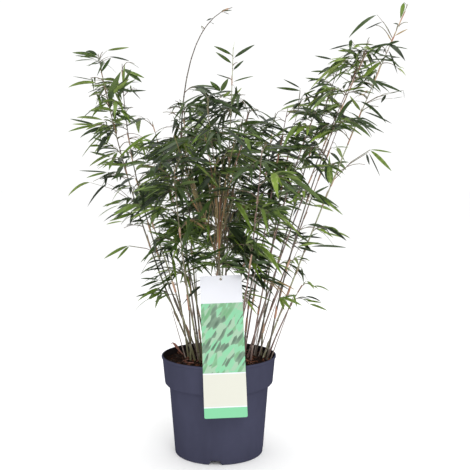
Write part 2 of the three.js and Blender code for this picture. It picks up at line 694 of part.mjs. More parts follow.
// A branch as one closed surface with its leaves, which grow out of its sides and its end.
function sprigGeometry(branch) {
  const corners = [];
  const faces = [0, 1, 2];
  const addRing = (along) => corners.push(...ringOf(branch, along)) - 3;
  const addLeaf = (leaf, base) => {
    const first = corners.length;
    corners.push(...bladeCorners(leaf));
    faces.push(...bladeFaces(base, first, corners));
  };
  let low = addRing(0);
  for (const along of pairPlaces(branch)) {
    const onLeft = branch.leaves.find((leaf) => leaf.along === along && leaf.hand > 0);
    const onRight = branch.leaves.find((leaf) => leaf.along === along && leaf.hand < 0);
    const reach = PAIR_LENGTH / branch.length / 2;
    const start = addRing(along - reach);
    const end = addRing(along + reach);
    faces.push(...sideFaces(low, start), ...sideFaces(start, end, onLeft, onRight));
    if (onLeft) addLeaf(onLeft, [start, start + 1, end + 1]);
    if (onRight) addLeaf(onRight, [end, end + 2, start + 2]);
    low = end;
  }
  const last = addRing(1);
  faces.push(...sideFaces(low, last));
  const atEnd = branch.leaves.find((leaf) => leaf.hand === 0);
  if (atEnd) addLeaf(atEnd, [last, last + 1, last + 2]);
  else faces.push(last, last + 2, last + 1);
  return faceted(corners, faces);
}

// The leaves of one branch: pairs to its left and right, and one on from its end. Each keeps off
// all that has grown already, but for its branch and the other leaf of its pair.
function growLeaves(branch, cane, draw, grown, toLabel) {
  const pairs = pairPlaces(branch);
  const places = pairs.flatMap((along) => [{ along, hand: 1 }, { along, hand: -1 }]);
  places.push({ along: 1, hand: 0 });
  branch.leaves = [];
  for (const { along, hand } of places) {
    const { at, travel } = onBranch(branch, along);
    const level = new THREE.Vector3(travel.x, travel.y, 0).normalize();
    for (let attempt = 0; attempt < LEAF_TRIES; attempt++) {
      const play = LEAF_YAW_PLAY * (draw() - 0.5);
      const leaf = {
        along,
        hand,
        root: at,
        heading: level.clone().applyAxisAngle(UP, hand * LEAF_YAW + play),
        length: LEAF_LENGTH * branch.leafSize * (1 + LEAF_LENGTH_PLAY * (draw() - 0.5)),
        roll: LEAF_ROLL * (draw() - 0.5),
      };
      leaf.heading.z = LEAF_FOLLOW * travel.z - LEAF_DROOP_PLAY * draw();
      leaf.heading.normalize();
      if (!bladeCorners(leaf).every((corner) => inOpenAir(corner, toLabel))) continue;
      const room = grownPiece(leafRoom(leaf), branch, along);
      if (grown.some((other) => !belongTogether(room, other) && touches(room, other))) continue;
      grown.push(room);
      branch.leaves.push(leaf);
      break;
    }
  }
}

// A grown solid with its box, its branch, and its place on the branch if it is a leaf.
function grownPiece(geometry, branch = null, along = null) {
  geometry.computeBoundingBox();
  return { solid: solidOf(geometry), box: geometry.boundingBox, branch, along };
}

// True for a leaf with its own branch, and with the other leaf of its pair.
function belongTogether(leaf, other) {
  return leaf.branch === other.branch && (other.along === null || other.along === leaf.along);
}

function touches(piece, other) {
  if (!piece.box.intersectsBox(other.box)) return false;
  return !piece.solid.intersect(other.solid).isEmpty();
}

const caneRadius = (place) => CANE_FOOT_RADIUS + (CANE_TIP_RADIUS - CANE_FOOT_RADIUS) * place;

// The points of a cane's curve between two fractions of it.
function stretch(path, from, to, steps) {
  const points = [];
  for (let i = 0; i <= steps; i++) {
    points.push(path.getPoint(from + ((to - from) * i) / steps));
  }
  return points;
}

function caneMesh(cane) {
  const points = stretch(cane.path, 0, cane.bareTo, CANE_STEPS);
  const radii = points.map((_, i) => caneRadius((cane.bareTo * i) / CANE_STEPS));
  return namedMesh(`cane_${cane.name}`, limb(points, radii, CANE_SIDES, true), CANE_BARK);
}

// The three-sided stem that carries a cane on through its leaves, a seat's width above it.
function stemGeometry(cane) {
  const from = cane.bareTo + SEAT / cane.path.getLength();
  const points = stretch(cane.path, from, 1, STEM_STEPS);
  const radii = points.map((_, i) => caneRadius(from + ((1 - from) * i) / STEM_STEPS));
  return limb(points, radii, STEM_SIDES);
}

// The foliage of one cane, fused: its upper stem, its branches and their leaves.
function foliageMesh(cane, branches) {
  const pieces = [stemGeometry(cane), ...branches.map(sprigGeometry)].map(solidOf);
  const fused = wasm.Manifold.union(pieces).simplify(TIDY);
  return namedMesh(`foliage_${cane.name}`, geometryOf(onGrid(mainBody(fused))), LEAF_GREEN);
}

// All canes and their foliage: first every limb, then the leaves in the room that is left.
function plant(toLabel) {
  const group = new THREE.Group();
  const limbs = CANES.flatMap((cane) =>
    segmentsOf(stretch(cane.path, 0, 1, STEM_STEPS + CANE_STEPS), CANE_FOOT_RADIUS, cane.name),
  );
  const branches = CANES.map((cane) => branchesOf(cane, limbs, toLabel));
  const canes = CANES.map(caneMesh);
  const grown = canes.map((mesh) => grownPiece(mesh.geometry));
  grown.push(...CANES.map((cane) => grownPiece(stemGeometry(cane))));
  for (const branch of branches.flat()) {
    const radii = [BRANCH_ROOT_RADIUS, BRANCH_ROOT_RADIUS, BRANCH_TIP_RADIUS, BRANCH_TIP_RADIUS];
    grown.push(grownPiece(limb(branchPoints(branch), radii, STEM_SIDES), branch));
  }
  CANES.forEach((cane, i) => {
    const draw = draws(cane.seed + LEAF_STREAM);
    branches[i].forEach((branch) => growLeaves(branch, cane, draw, grown, toLabel));
    group.add(canes[i], foliageMesh(cane, branches[i]));
  });
  return group;
}

const bamboo = new THREE.Group();
const frame = labelFrame();
frame.add(labelCard());
bamboo.add(pot(), soil(), frame, labelTie(frame), plant(frame.matrix.clone().invert()));

export default bamboo;
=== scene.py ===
"""A potted clumping bamboo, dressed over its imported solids.

The pot, its soil and the label are modelled piece by piece. Canes, twigs and leaves grow by the
same seeded rule as the solids and are carried on to finer twigs and life-size leaves. Sizes are in
millimetres until a mesh is made, which is in metres.
"""

from __future__ import annotations

import json
import logging
import math
from dataclasses import dataclass, field
from enum import Enum
from typing import Callable, Sequence

import bpy
import numpy as np
from mathutils import Euler, Matrix, Quaternion, Vector

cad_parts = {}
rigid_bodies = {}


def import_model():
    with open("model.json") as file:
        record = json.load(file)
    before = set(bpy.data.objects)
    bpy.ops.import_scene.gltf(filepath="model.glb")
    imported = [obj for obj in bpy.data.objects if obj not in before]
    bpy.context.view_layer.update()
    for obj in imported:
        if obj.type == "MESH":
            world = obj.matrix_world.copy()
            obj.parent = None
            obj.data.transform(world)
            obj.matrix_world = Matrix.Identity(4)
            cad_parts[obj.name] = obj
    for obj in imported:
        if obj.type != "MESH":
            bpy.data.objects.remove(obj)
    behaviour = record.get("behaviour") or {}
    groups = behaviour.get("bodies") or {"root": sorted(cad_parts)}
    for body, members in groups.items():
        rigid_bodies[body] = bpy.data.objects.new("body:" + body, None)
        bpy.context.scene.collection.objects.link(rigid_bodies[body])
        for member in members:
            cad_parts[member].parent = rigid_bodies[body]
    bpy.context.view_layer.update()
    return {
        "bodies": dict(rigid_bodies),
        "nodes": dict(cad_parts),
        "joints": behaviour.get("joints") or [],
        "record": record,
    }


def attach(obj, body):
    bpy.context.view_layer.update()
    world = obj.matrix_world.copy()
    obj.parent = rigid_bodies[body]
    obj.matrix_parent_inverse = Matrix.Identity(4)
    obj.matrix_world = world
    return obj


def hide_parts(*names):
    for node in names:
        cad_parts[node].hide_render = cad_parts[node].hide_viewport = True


LOG = logging.getLogger("bamboo")
MM = 0.001
UP = Vector((0.0, 0.0, 1.0))
BLACK, WHITE = (0.0, 0.0, 0.0), (1.0, 1.0, 1.0)
Piece = bpy.types.Object
Socket = bpy.types.NodeSocket
Material = bpy.types.Material
Color = tuple[float, float, float]
Span = tuple[float, float]
Outline = Sequence[tuple[float, float]]
VIEWPOINT = (32.5, -1550.0, 552.7)


def rgb(*display: int) -> Color:
    """Turn a display colour, each channel 0 to 255, into the scene's linear colour."""
    parts = [value / 255 for value in display]
    return tuple(part / 12.92 if part <= 0.04045 else ((part + 0.055) / 1.055) ** 2.4 for part in parts)


def scaled(color: Color, share: float) -> Color:
    """A colour made darker or lighter by a share."""
    return tuple(min(1.0, share * part) for part in color)


def around(angle: float, far: float = 1.0, height: float = 0.0) -> Vector:
    """The point at an angle round the upright axis, so far out and so high."""
    return Vector((far * math.cos(angle), far * math.sin(angle), height))


class Shader:
    """A material and short ways to add and link its nodes."""

    def __init__(self, name: str, roughness: float, specular: float = 0.5) -> None:
        """Make the material with its one Principled shader.

        Args:
            name: The material's name.
            roughness: The roughness of its surface.
            specular: How strongly it reflects.
        """
        self.material = bpy.data.materials.new(name)
        self.material.use_nodes = True
        self.tree = self.material.node_tree
        self.surface = self.tree.nodes["Principled BSDF"].inputs
        self.surface["Roughness"].default_value = roughness
        self.surface["Specular IOR Level"].default_value = specular

    def feed(self, target: Socket, value: object) -> None:
        """Set a socket to a value, or link it to another socket.

        Args:
            target: The socket to feed.
            value: The value, or the socket that gives it.
        """
        if isinstance(value, Socket):
            self.tree.links.new(value, target)
        else:
            target.default_value = value

    def node(self, kind: str, **inputs: object) -> bpy.types.Node:
        """Add a node and feed its inputs by name.

        Args:
            kind: The node's type, without ShaderNode.
            **inputs: Values or sockets for its inputs, with _ for a space.

        Returns:
            The new node.
        """
        made = self.tree.nodes.new("ShaderNode" + kind)
        for name, value in inputs.items():
            self.feed(made.inputs[name.replace("_", " ")], value)
        return made

    def noise(self, scale: float, detail: float, along: float = 1) -> Socket:
        """Noise over the piece's own coordinates.

        Args:
            scale: How fine it is, per metre.
            detail: How many finer layers it has.
            along: How much finer it is up the piece.

        Returns:
            The noise's factor.
        """
        place = self.node("TexCoord").outputs["Object"]
        turn = self.node("Mapping", Vector=place, Scale=(1, 1, along)).outputs["Vector"]
        return self.node("TexNoise", Vector=turn, Scale=scale, Detail=detail, Roughness=0.6).outputs["Fac"]

    def ramp(self, factor: Socket, *stops: tuple[float, Color], sharp: bool = False) -> Socket:
        """Turn a factor into colours.

        Args:
            factor: The factor to read.
            *stops: Places from 0 to 1 with their colours.
            sharp: Whether the colours change at a line.

        Returns:
            The colour.
        """
        ramp = self.node("ValToRGB", Fac=factor)
        band = ramp.color_ramp
        band.interpolation = "CONSTANT" if sharp else "LINEAR"
        while len(band.elements) < len(stops):
            band.elements.new(0.5)
        for element, (place, color) in zip(band.elements, stops):
            element.position = place
            element.color = (*color, 1.0)
        return ramp.outputs["Color"]

    def blend(self, factor: Socket, *colors: Color | Socket) -> Socket:
        """Mix two colours, or sockets that give them.

        Args:
            factor: Share of the second one.
            *colors: The two colours.

        Returns:
            The mixed colour.
        """
        mix = self.node("Mix")
        mix.data_type = "RGBA"
        self.feed(mix.inputs["Factor"], factor)
        for socket, color in zip(mix.inputs[6:8], colors):
            self.feed(socket, color if isinstance(color, Socket) else (*color, 1.0))
        return mix.outputs[2]

    def color(self, socket: Socket) -> None:
        """Link the base colour."""
        self.feed(self.surface["Base Color"], socket)

    def relief(self, height: Socket, distance: float, strength: float) -> None:
        """Give the surface a fine relief, its depth in millimetres."""
        bump = self.node("Bump", Distance=distance * MM, Strength=strength, Height=height)
        self.feed(self.surface["Normal"], bump.outputs["Normal"])


@dataclass(frozen=True)
class PotPlastic:
    """Satin slate-grey moulded plastic with a fine grain and faint scuffs."""

    name: str = "pot_plastic"
    body: Color = rgb(65, 66, 84)
    shade: Color = rgb(58, 59, 75)
    dust: Color = rgb(84, 85, 98)

    def material(self) -> Material:
        """Make the material.

        Returns:
            The material.
        """
        shader = Shader(self.name, 0.6, 0.0)
        cloud = shader.noise(14, 3, 0.5)
        tone = shader.ramp(cloud, (0.3, self.shade), (0.7, self.body))
        scuffs = shader.ramp(shader.noise(60, 6, 6), (0.66, BLACK), (0.8, scaled(WHITE, 0.35)))
        shader.color(shader.blend(scuffs, tone, self.dust))
        satin = shader.node("MapRange", Value=cloud, To_Min=0.48, To_Max=0.6)
        shader.feed(shader.surface["Roughness"], satin.outputs["Result"])
        shader.relief(shader.noise(1500, 2), 0.12, 0.25)
        return shader.material


@dataclass(frozen=True)
class Finish:
    """A plain natural surface: one grain turned into colours, over a fine relief.

    A grain is its scale per metre, its layers and how much finer it is up the piece. The relief is its
    depth in millimetres and its strength, and takes the colours' grain where it has none of its own.
    """

    name: str
    roughness: float
    specular: float
    grain: tuple[float, ...]
    stops: tuple[tuple[float, Color], ...]
    relief: tuple[float, float]
    relief_grain: tuple[float, ...] = ()

    def material(self) -> Material:
        """Make the material.

        Returns:
            The material.
        """
        shader = Shader(self.name, self.roughness, self.specular)
        grain = shader.noise(*self.grain)
        shader.color(shader.ramp(grain, *self.stops))
        shader.relief(shader.noise(*self.relief_grain) if self.relief_grain else grain, *self.relief)
        return shader.material


PEAT_STOPS = ((0.36, rgb(15, 10, 8)), (0.55, rgb(29, 19, 14)), (0.72, rgb(80, 44, 28)))
PEAT = Finish("peat", 0.95, 0.03, (320, 8), PEAT_STOPS, (2.5, 0.9))
TWIG_STOPS = ((0.4, rgb(100, 100, 74)), (0.62, rgb(104, 82, 70)))
TWIG_BARK = Finish("twig_bark", 0.55, 0.5, (45, 4), TWIG_STOPS, (0.08, 0.3), (1200, 2))
PAPER_STOPS = ((0.36, rgb(152, 102, 80)), (0.6, rgb(178, 154, 132)))
SHEATH_PAPER = Finish("sheath_paper", 0.7, 0.5, (120, 5, 0.15), PAPER_STOPS, (0.1, 0.4), (1400, 3, 0.1))
CARD = rgb(232, 236, 230)
CARD_STOCK = Finish("card_stock", 0.5, 0.5, (500, 4), ((0.3, scaled(CARD, 0.94)), (0.7, CARD)), (0.05, 0.2))
STRING_STOPS = ((0.4, rgb(172, 164, 146)), (0.6, rgb(222, 216, 200)))
TIE_STRING = Finish("tie_string", 0.85, 0.5, (2200, 2, 0.4), STRING_STOPS, (0.2, 0.6))


def bits_of(name: str, low: Color, high: Color) -> Finish:
    """The finish of bits of bark and peat on the soil."""
    return Finish(name, 0.9, 0.15, (700, 5), ((0.35, low), (0.65, high)), (0.5, 0.6))


class CaneTone(Enum):
    """The ground colour and the flush of a cane's bark."""

    OLIVE = (rgb(112, 112, 80), rgb(88, 76, 60))
    BROWN = (rgb(90, 82, 70), rgb(68, 58, 50))
    MAUVE = (rgb(136, 114, 106), rgb(98, 74, 70))
    SANDY = (rgb(146, 126, 84), rgb(96, 80, 50))
    RUSTY = (rgb(158, 98, 64), rgb(108, 70, 50))
    PALE = (rgb(152, 158, 126), rgb(134, 126, 104))


@dataclass(frozen=True)
class CaneBark:
    """Smooth cane bark, flushed in streaks, pale under each joint and dark on it."""

    tone: CaneTone
    bloom: Color = rgb(164, 158, 146)
    scar: Color = rgb(60, 42, 34)

    def material(self) -> Material:
        """Make the material.

        Returns:
            The material.
        """
        shader = Shader("cane_" + self.tone.name.lower(), 0.45)
        ground, flush = self.tone.value
        bark = shader.ramp(shader.noise(90, 4, 0.12), (0.38, flush), (0.62, ground))
        joint, bloom = shader.node("Attribute"), shader.node("Attribute")
        joint.attribute_name, bloom.attribute_name = "joint", "bloom"
        scar = shader.ramp(joint.outputs["Fac"], (0.5, BLACK), (0.95, WHITE))
        powdered = shader.blend(bloom.outputs["Fac"], bark, self.bloom)
        shader.color(shader.blend(scar, powdered, self.scar))
        shader.relief(shader.noise(900, 3, 0.1), 0.15, 0.4)
        return shader.material


class LeafTone(Enum):
    """A leaf's upper side, its paler underside and how often a spray has it."""

    DEEP = (rgb(47, 65, 25), rgb(79, 97, 51), 0.36)
    SHADE = (rgb(29, 41, 21), rgb(60, 75, 47), 0.28)
    FRESH = (rgb(86, 108, 38), rgb(112, 130, 66), 0.27)
    LIME = (rgb(112, 134, 54), rgb(136, 152, 86), 0.04)
    DRY = (rgb(140, 114, 78), rgb(152, 132, 98), 0.002)


DEEP, SHADE, FRESH, LIME, DRY = LeafTone


def leaf_green(tone: LeafTone, under: bool) -> Finish:
    """One tone of leaf: its satin upper side or its matt underside.

    Args:
        tone: Its colours.
        under: Whether it is the underside.

    Returns:
        The side's finish.
    """
    side, roughness = ("under", 0.6) if under else ("top", 0.42)
    name = f"leaf_{tone.name.lower()}_{side}"
    stops = ((0.32, scaled(tone.value[under], 0.78)), (0.68, scaled(tone.value[under], 1.22)))
    return Finish(name, roughness, 0.24, (38, 3), stops, (0.2, 0.25), (420, 2))


@dataclass(frozen=True)
class LabelPrint:
    """A plain printed card: a pale head, a field of green tiles and a cream foot with a mint band."""

    paper: Color = rgb(206, 207, 214)
    mint: Color = rgb(98, 178, 130)
    pale: Color = rgb(132, 168, 138)
    leafy: Color = rgb(72, 138, 84)
    deep: Color = rgb(26, 72, 42)
    cream: Color = rgb(192, 192, 180)
    head: float = 0.8
    foot: float = 0.3
    band: float = 0.07
    line: float = 0.008
    slant: float = 34.0

    def material(self) -> Material:
        """Make the material.

        Returns:
            The material.
        """
        shader = Shader("label_print", 0.32)
        place = shader.node("UVMap").outputs["UV"]
        height = shader.node("SeparateXYZ", Vector=place).outputs["Y"]
        slant = (0, 0, math.radians(self.slant))
        turn = shader.node("Mapping", Vector=place, Rotation=slant, Scale=(8.4, 28.6, 1)).outputs["Vector"]
        drawn = shader.node("Mapping", Vector=turn, Scale=(1, 0.36, 1)).outputs["Vector"]
        cells = shader.node("TexVoronoi", Vector=drawn, Scale=1.5, Randomness=0.8)
        tint = shader.node("SeparateColor", Color=cells.outputs["Color"])
        greens = ((0.0, self.deep), (0.24, self.leafy), (0.46, self.pale), (0.7, self.mint))
        tiles = shader.ramp(tint.outputs["Red"], *greens, sharp=True)
        glow = shader.ramp(cells.outputs["Distance"], (0.2, BLACK), (0.8, scaled(WHITE, 0.4)))
        tiles = shader.blend(glow, tiles, self.pale)
        bands = ((0.0, self.mint), (self.band, self.paper), (self.band + self.line, self.cream))
        zones = shader.ramp(height, *bands, (self.foot, self.paper), sharp=True)
        middle = ((0.0, BLACK), (self.foot + self.line, WHITE), (self.head, BLACK))
        shader.color(shader.blend(shader.ramp(height, *middle, sharp=True), zones, tiles))
        shader.surface["Coat Weight"].default_value = 0.3
        shader.relief(shader.noise(260, 2), 0.05, 0.15)
        return shader.material


class MeshPile:
    """Gathers the corners and faces of many small shapes into one mesh."""

    def __init__(self) -> None:
        """Start with nothing."""
        self.corners: list[np.ndarray] = []
        self.faces: list[tuple[int, ...]] = []
        self.slots: list[int] = []
        self.values: dict[str, list[float]] = {}
        self.count = 0

    def add(
        self,
        corners: np.ndarray,
        faces: Sequence[Sequence[int]],
        slots: Sequence[int] = (),
        **values: Sequence[float],
    ) -> None:
        """Add one shape.

        Args:
            corners: Its corners in millimetres, one row each.
            faces: Its faces as indices into the corners.
            slots: The material slot of each face, the first one if left out.
            **values: One number for each corner, by name.
        """
        self.faces += [tuple(self.count + i for i in face) for face in faces]
        self.slots += slots or [0] * len(faces)
        for name, numbers in values.items():
            self.values.setdefault(name, []).extend(numbers)
        self.corners.append(corners)
        self.count += len(corners)

    def tube(
        self, points: Sequence[Vector], radii: Sequence[float], sides: int, **values: Sequence[float]
    ) -> None:
        """Add a closed round limb along points.

        Args:
            points: The middle line, in millimetres.
            radii: The radius at each point.
            sides: How many sides it has.
            **values: One number for each point, by name.
        """
        rings: list[Vector] = []
        side = Vector((0, 1, 0) if abs((points[1] - points[0]).normalized().x) > 0.8 else (1, 0, 0))
        for i, point in enumerate(points):
            tangent = (points[min(i + 1, len(points) - 1)] - points[max(i - 1, 0)]).normalized()
            side = (side - tangent * side.dot(tangent)).normalized()
            across = tangent.cross(side)
            for k in range(sides):
                angle = 2 * math.pi * k / sides
                rings.append(point + radii[i] * (math.cos(angle) * side + math.sin(angle) * across))
        last = len(rings) - sides
        faces: list[tuple[int, ...]] = [tuple(reversed(range(sides))), tuple(range(last, last + sides))]
        for low in range(0, last, sides):
            for k in range(sides):
                a, b = low + k, low + (k + 1) % sides
                faces.append((a, b, b + sides, a + sides))
        spread = {name: np.repeat(numbers, sides) for name, numbers in values.items()}
        self.add(np.array(rings), faces, **spread)

    def piece(self, name: str, materials: Sequence[Material], crease: float) -> Piece:
        """Make the mesh and its object, smooth but for its creases.

        Args:
            name: The piece's name.
            materials: Its materials, in the order of the slots.
            crease: Angle in degrees past which an edge stays sharp.

        Returns:
            The new object.
        """
        mesh = bpy.data.meshes.new(name)
        mesh.from_pydata((np.concatenate(self.corners) * MM).tolist(), [], self.faces)
        for material in materials:
            mesh.materials.append(material)
        mesh.polygons.foreach_set("material_index", self.slots)
        for key, numbers in self.values.items():
            mesh.attributes.new(key, "FLOAT", "POINT").data.foreach_set("value", numbers)
        made = bpy.data.objects.new(name, mesh)
        bpy.context.scene.collection.objects.link(made)
        smooth(made, crease)
        return made


def pick(piece: Piece) -> None:
    """Make a piece the only selected one.

    Args:
        piece: The piece.
    """
    if bpy.context.mode != "OBJECT":
        bpy.ops.object.mode_set(mode="OBJECT")
    bpy.ops.object.select_all(action="DESELECT")
    piece.select_set(True)
    bpy.context.view_layer.objects.active = piece


def smooth(piece: Piece, crease: float) -> None:
    """Shade a piece smooth but for edges sharper than an angle in degrees."""
    pick(piece)
    bpy.ops.object.shade_smooth_by_angle(angle=math.radians(crease))


def modify(piece: Piece, kind: str, **settings: object) -> None:
    """Add a modifier to a piece and apply it.

    Args:
        piece: The piece.
        kind: The modifier's type.
        **settings: Its settings by name.
    """
    pick(piece)
    modifier = piece.modifiers.new(kind, kind)
    for name, value in settings.items():
        setattr(modifier, name, value)
    bpy.ops.object.modifier_apply(modifier=modifier.name)


def settle(piece: Piece, name: str, materials: Sequence[Material]) -> None:
    """Apply a piece's place, name it and dress it.

    Args:
        piece: The object to finish.
        name: Its name.
        materials: Its materials, in the order of the slots.
    """
    pick(piece)
    bpy.ops.object.transform_apply()
    piece.name = piece.data.name = name
    piece.data.materials.clear()
    for material in materials:
        piece.data.materials.append(material)


def turned(profile: Outline, sides: int) -> Piece:
    """Model a closed turned shell by drawing a disc out along a profile.

    Args:
        profile: Radius and height of each step in millimetres, from the middle of the underside.
        sides: How many sides the disc has.

    Returns:
        The new object.
    """
    radius, height = profile[0]
    place = (0, 0, height * MM)
    bpy.ops.mesh.primitive_circle_add(vertices=sides, radius=radius * MM, fill_type="NGON", location=place)
    piece = bpy.context.object
    bpy.ops.object.transform_apply()
    bpy.ops.object.mode_set(mode="EDIT")
    bpy.ops.mesh.select_all(action="SELECT")
    for (radius, height), (wider, higher) in zip(profile, profile[1:]):
        bpy.ops.mesh.extrude_region_move(TRANSFORM_OT_translate={"value": (0, 0, (higher - height) * MM)})
        grow = wider / radius
        bpy.ops.transform.resize(value=(grow, grow, 1), center_override=(0, 0, higher * MM))
    bpy.ops.mesh.select_all(action="SELECT")
    bpy.ops.mesh.normals_make_consistent(inside=False)
    bpy.ops.object.mode_set(mode="OBJECT")
    return piece


def cut(piece: Piece, cutter: Piece) -> None:
    """Cut a piece by another, which is then removed."""
    modify(piece, "BOOLEAN", operation="DIFFERENCE", solver="EXACT", object=cutter)
    bpy.data.objects.remove(cutter)


@dataclass
class Pot:
    """The round nursery pot: a thin tapered wall under a wider collar with a rounded lip."""

    finish: PotPlastic = PotPlastic()
    height: float = 197.4
    wall: float = 1.3
    lip_radius: float = 115.0
    lip_depth: float = 4.6
    collar_top: float = 113.1
    collar_foot: float = 108.8
    collar_foot_height: float = 145.0
    step_radius: float = 101.0
    step_height: float = 136.6
    wall_top: float = 99.3
    wall_top_height: float = 132.5
    wall_foot: float = 88.9
    channel_outer: float = 80.0
    channel_inner: float = 60.0
    channel_depth: float = 10.0
    base: float = 2.0
    notch_wide: float = 28.0
    notch_narrow: float = 16.0
    notch_height: float = 9.0
    # Height above which the inner wall is darkened: painted shade, with brown soil marks.
    shade_and_soil_from: float = 150.0
    notch_turn: float = -3.5
    notches: int = 4
    holes: int = 8
    hole_radius: float = 5.0
    sides: int = 128

    def profile(self) -> Outline:
        """The steps of the shell: under the base, up the outside, over the lip and down inside.

        Returns:
            Radius and height of each step.
        """
        top, lip, edge = self.height, self.lip_radius, self.height - self.lip_depth
        wide, waist, waist_height = self.collar_top, self.collar_foot, self.collar_foot_height
        step, step_height = self.step_radius, self.step_height
        shoulder, foot = self.wall_top, self.wall_foot
        half_way = ((foot + shoulder) / 2, (2.0 + self.wall_top_height) / 2)
        ring_in, ring_out, deep = self.channel_inner, self.channel_outer, self.channel_depth
        floor = deep + self.base
        outside = [
            (ring_in - 2, 0.0), (ring_in + 2, deep), (ring_out - 2, deep), (ring_out, 0.0), (foot - 2, 0.0),
            (foot - 0.6, 0.6), (foot, 2.0), half_way, (shoulder, self.wall_top_height),
            (step - 0.6, step_height - 1.6), (step, step_height), (waist - 2.6, waist_height - 4.6),
            (waist - 0.7, waist_height - 2.4), (waist, waist_height), (wide, edge - 1.5),
            (lip - 0.4, edge), (lip, edge + 0.8), (lip, top - 0.8), (lip - 0.7, top),
        ]
        inside = [
            (wide + 0.4, top), (wide, top - 0.6), (waist, waist_height + 1), (waist - 2, step_height + 5.6),
            (step, step_height + self.wall), (shoulder, self.wall_top_height), (foot + 1, floor),
        ]
        inside = [(radius - self.wall, height) for radius, height in inside]
        return [*outside, *inside, (ring_in - 2, floor), (ring_in - 6, self.base)]

    def notch_cutter(self, turn: float) -> Piece:
        """Model the tapered block that cuts one notch.

        Args:
            turn: Its turn about the pot in degrees.

        Returns:
            The cutter.
        """
        reach = (self.wall_foot - self.channel_inner) * MM
        middle = -(self.channel_inner + 6) * MM - reach / 2
        bpy.ops.mesh.primitive_cube_add(size=1, location=(0, middle, self.notch_height * MM / 2 - 0.0005))
        block = bpy.context.object
        block.scale = (self.notch_wide * MM, reach, self.notch_height * MM + 0.001)
        bpy.ops.object.transform_apply()
        for corner in block.data.vertices:
            if corner.co.z > 0.001:
                corner.co.x *= self.notch_narrow / self.notch_wide
        block.data.transform(Matrix.Rotation(math.radians(turn), 4, "Z"))
        return block

    def build(self) -> Piece:
        """Model the pot with its notches and drain holes.

        Returns:
            The pot.
        """
        pot = turned(self.profile(), self.sides)
        for i in range(self.notches):
            cut(pot, self.notch_cutter(self.notch_turn + 360 * i / self.notches))
        ring = (self.channel_inner + self.channel_outer) / 2
        for i in range(self.holes):
            place = around(2 * math.pi * (i + 0.5) / self.holes, ring * MM, (self.channel_depth + 1) * MM)
            bpy.ops.mesh.primitive_cylinder_add(
                vertices=24, radius=self.hole_radius * MM, depth=6 * MM, location=place
            )
            cut(pot, bpy.context.object)
        sharp = math.radians(32)
        modify(pot, "BEVEL", width=0.35 * MM, segments=2, limit_method="ANGLE", angle_limit=sharp)
        # The inner wall above the soil takes a darker copy of the plastic: painted shade, with brown soil
        # marks.
        inside_shade_and_soil = PotPlastic("pot_inside_shade_and_soil", rgb(36, 31, 33), rgb(24, 20, 20), rgb(58, 46, 40))
        settle(pot, "nursery_pot", [self.finish.material(), inside_shade_and_soil.material()])
        for face in pot.data.polygons:
            inward = -face.normal.xy.dot(face.center.xy.normalized())
            if inward > 0.3 and self.shade_and_soil_from * MM < face.center.z:
                face.material_index = 1
        smooth(pot, 35)
        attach(pot, "root")
        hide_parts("pot")
        return pot


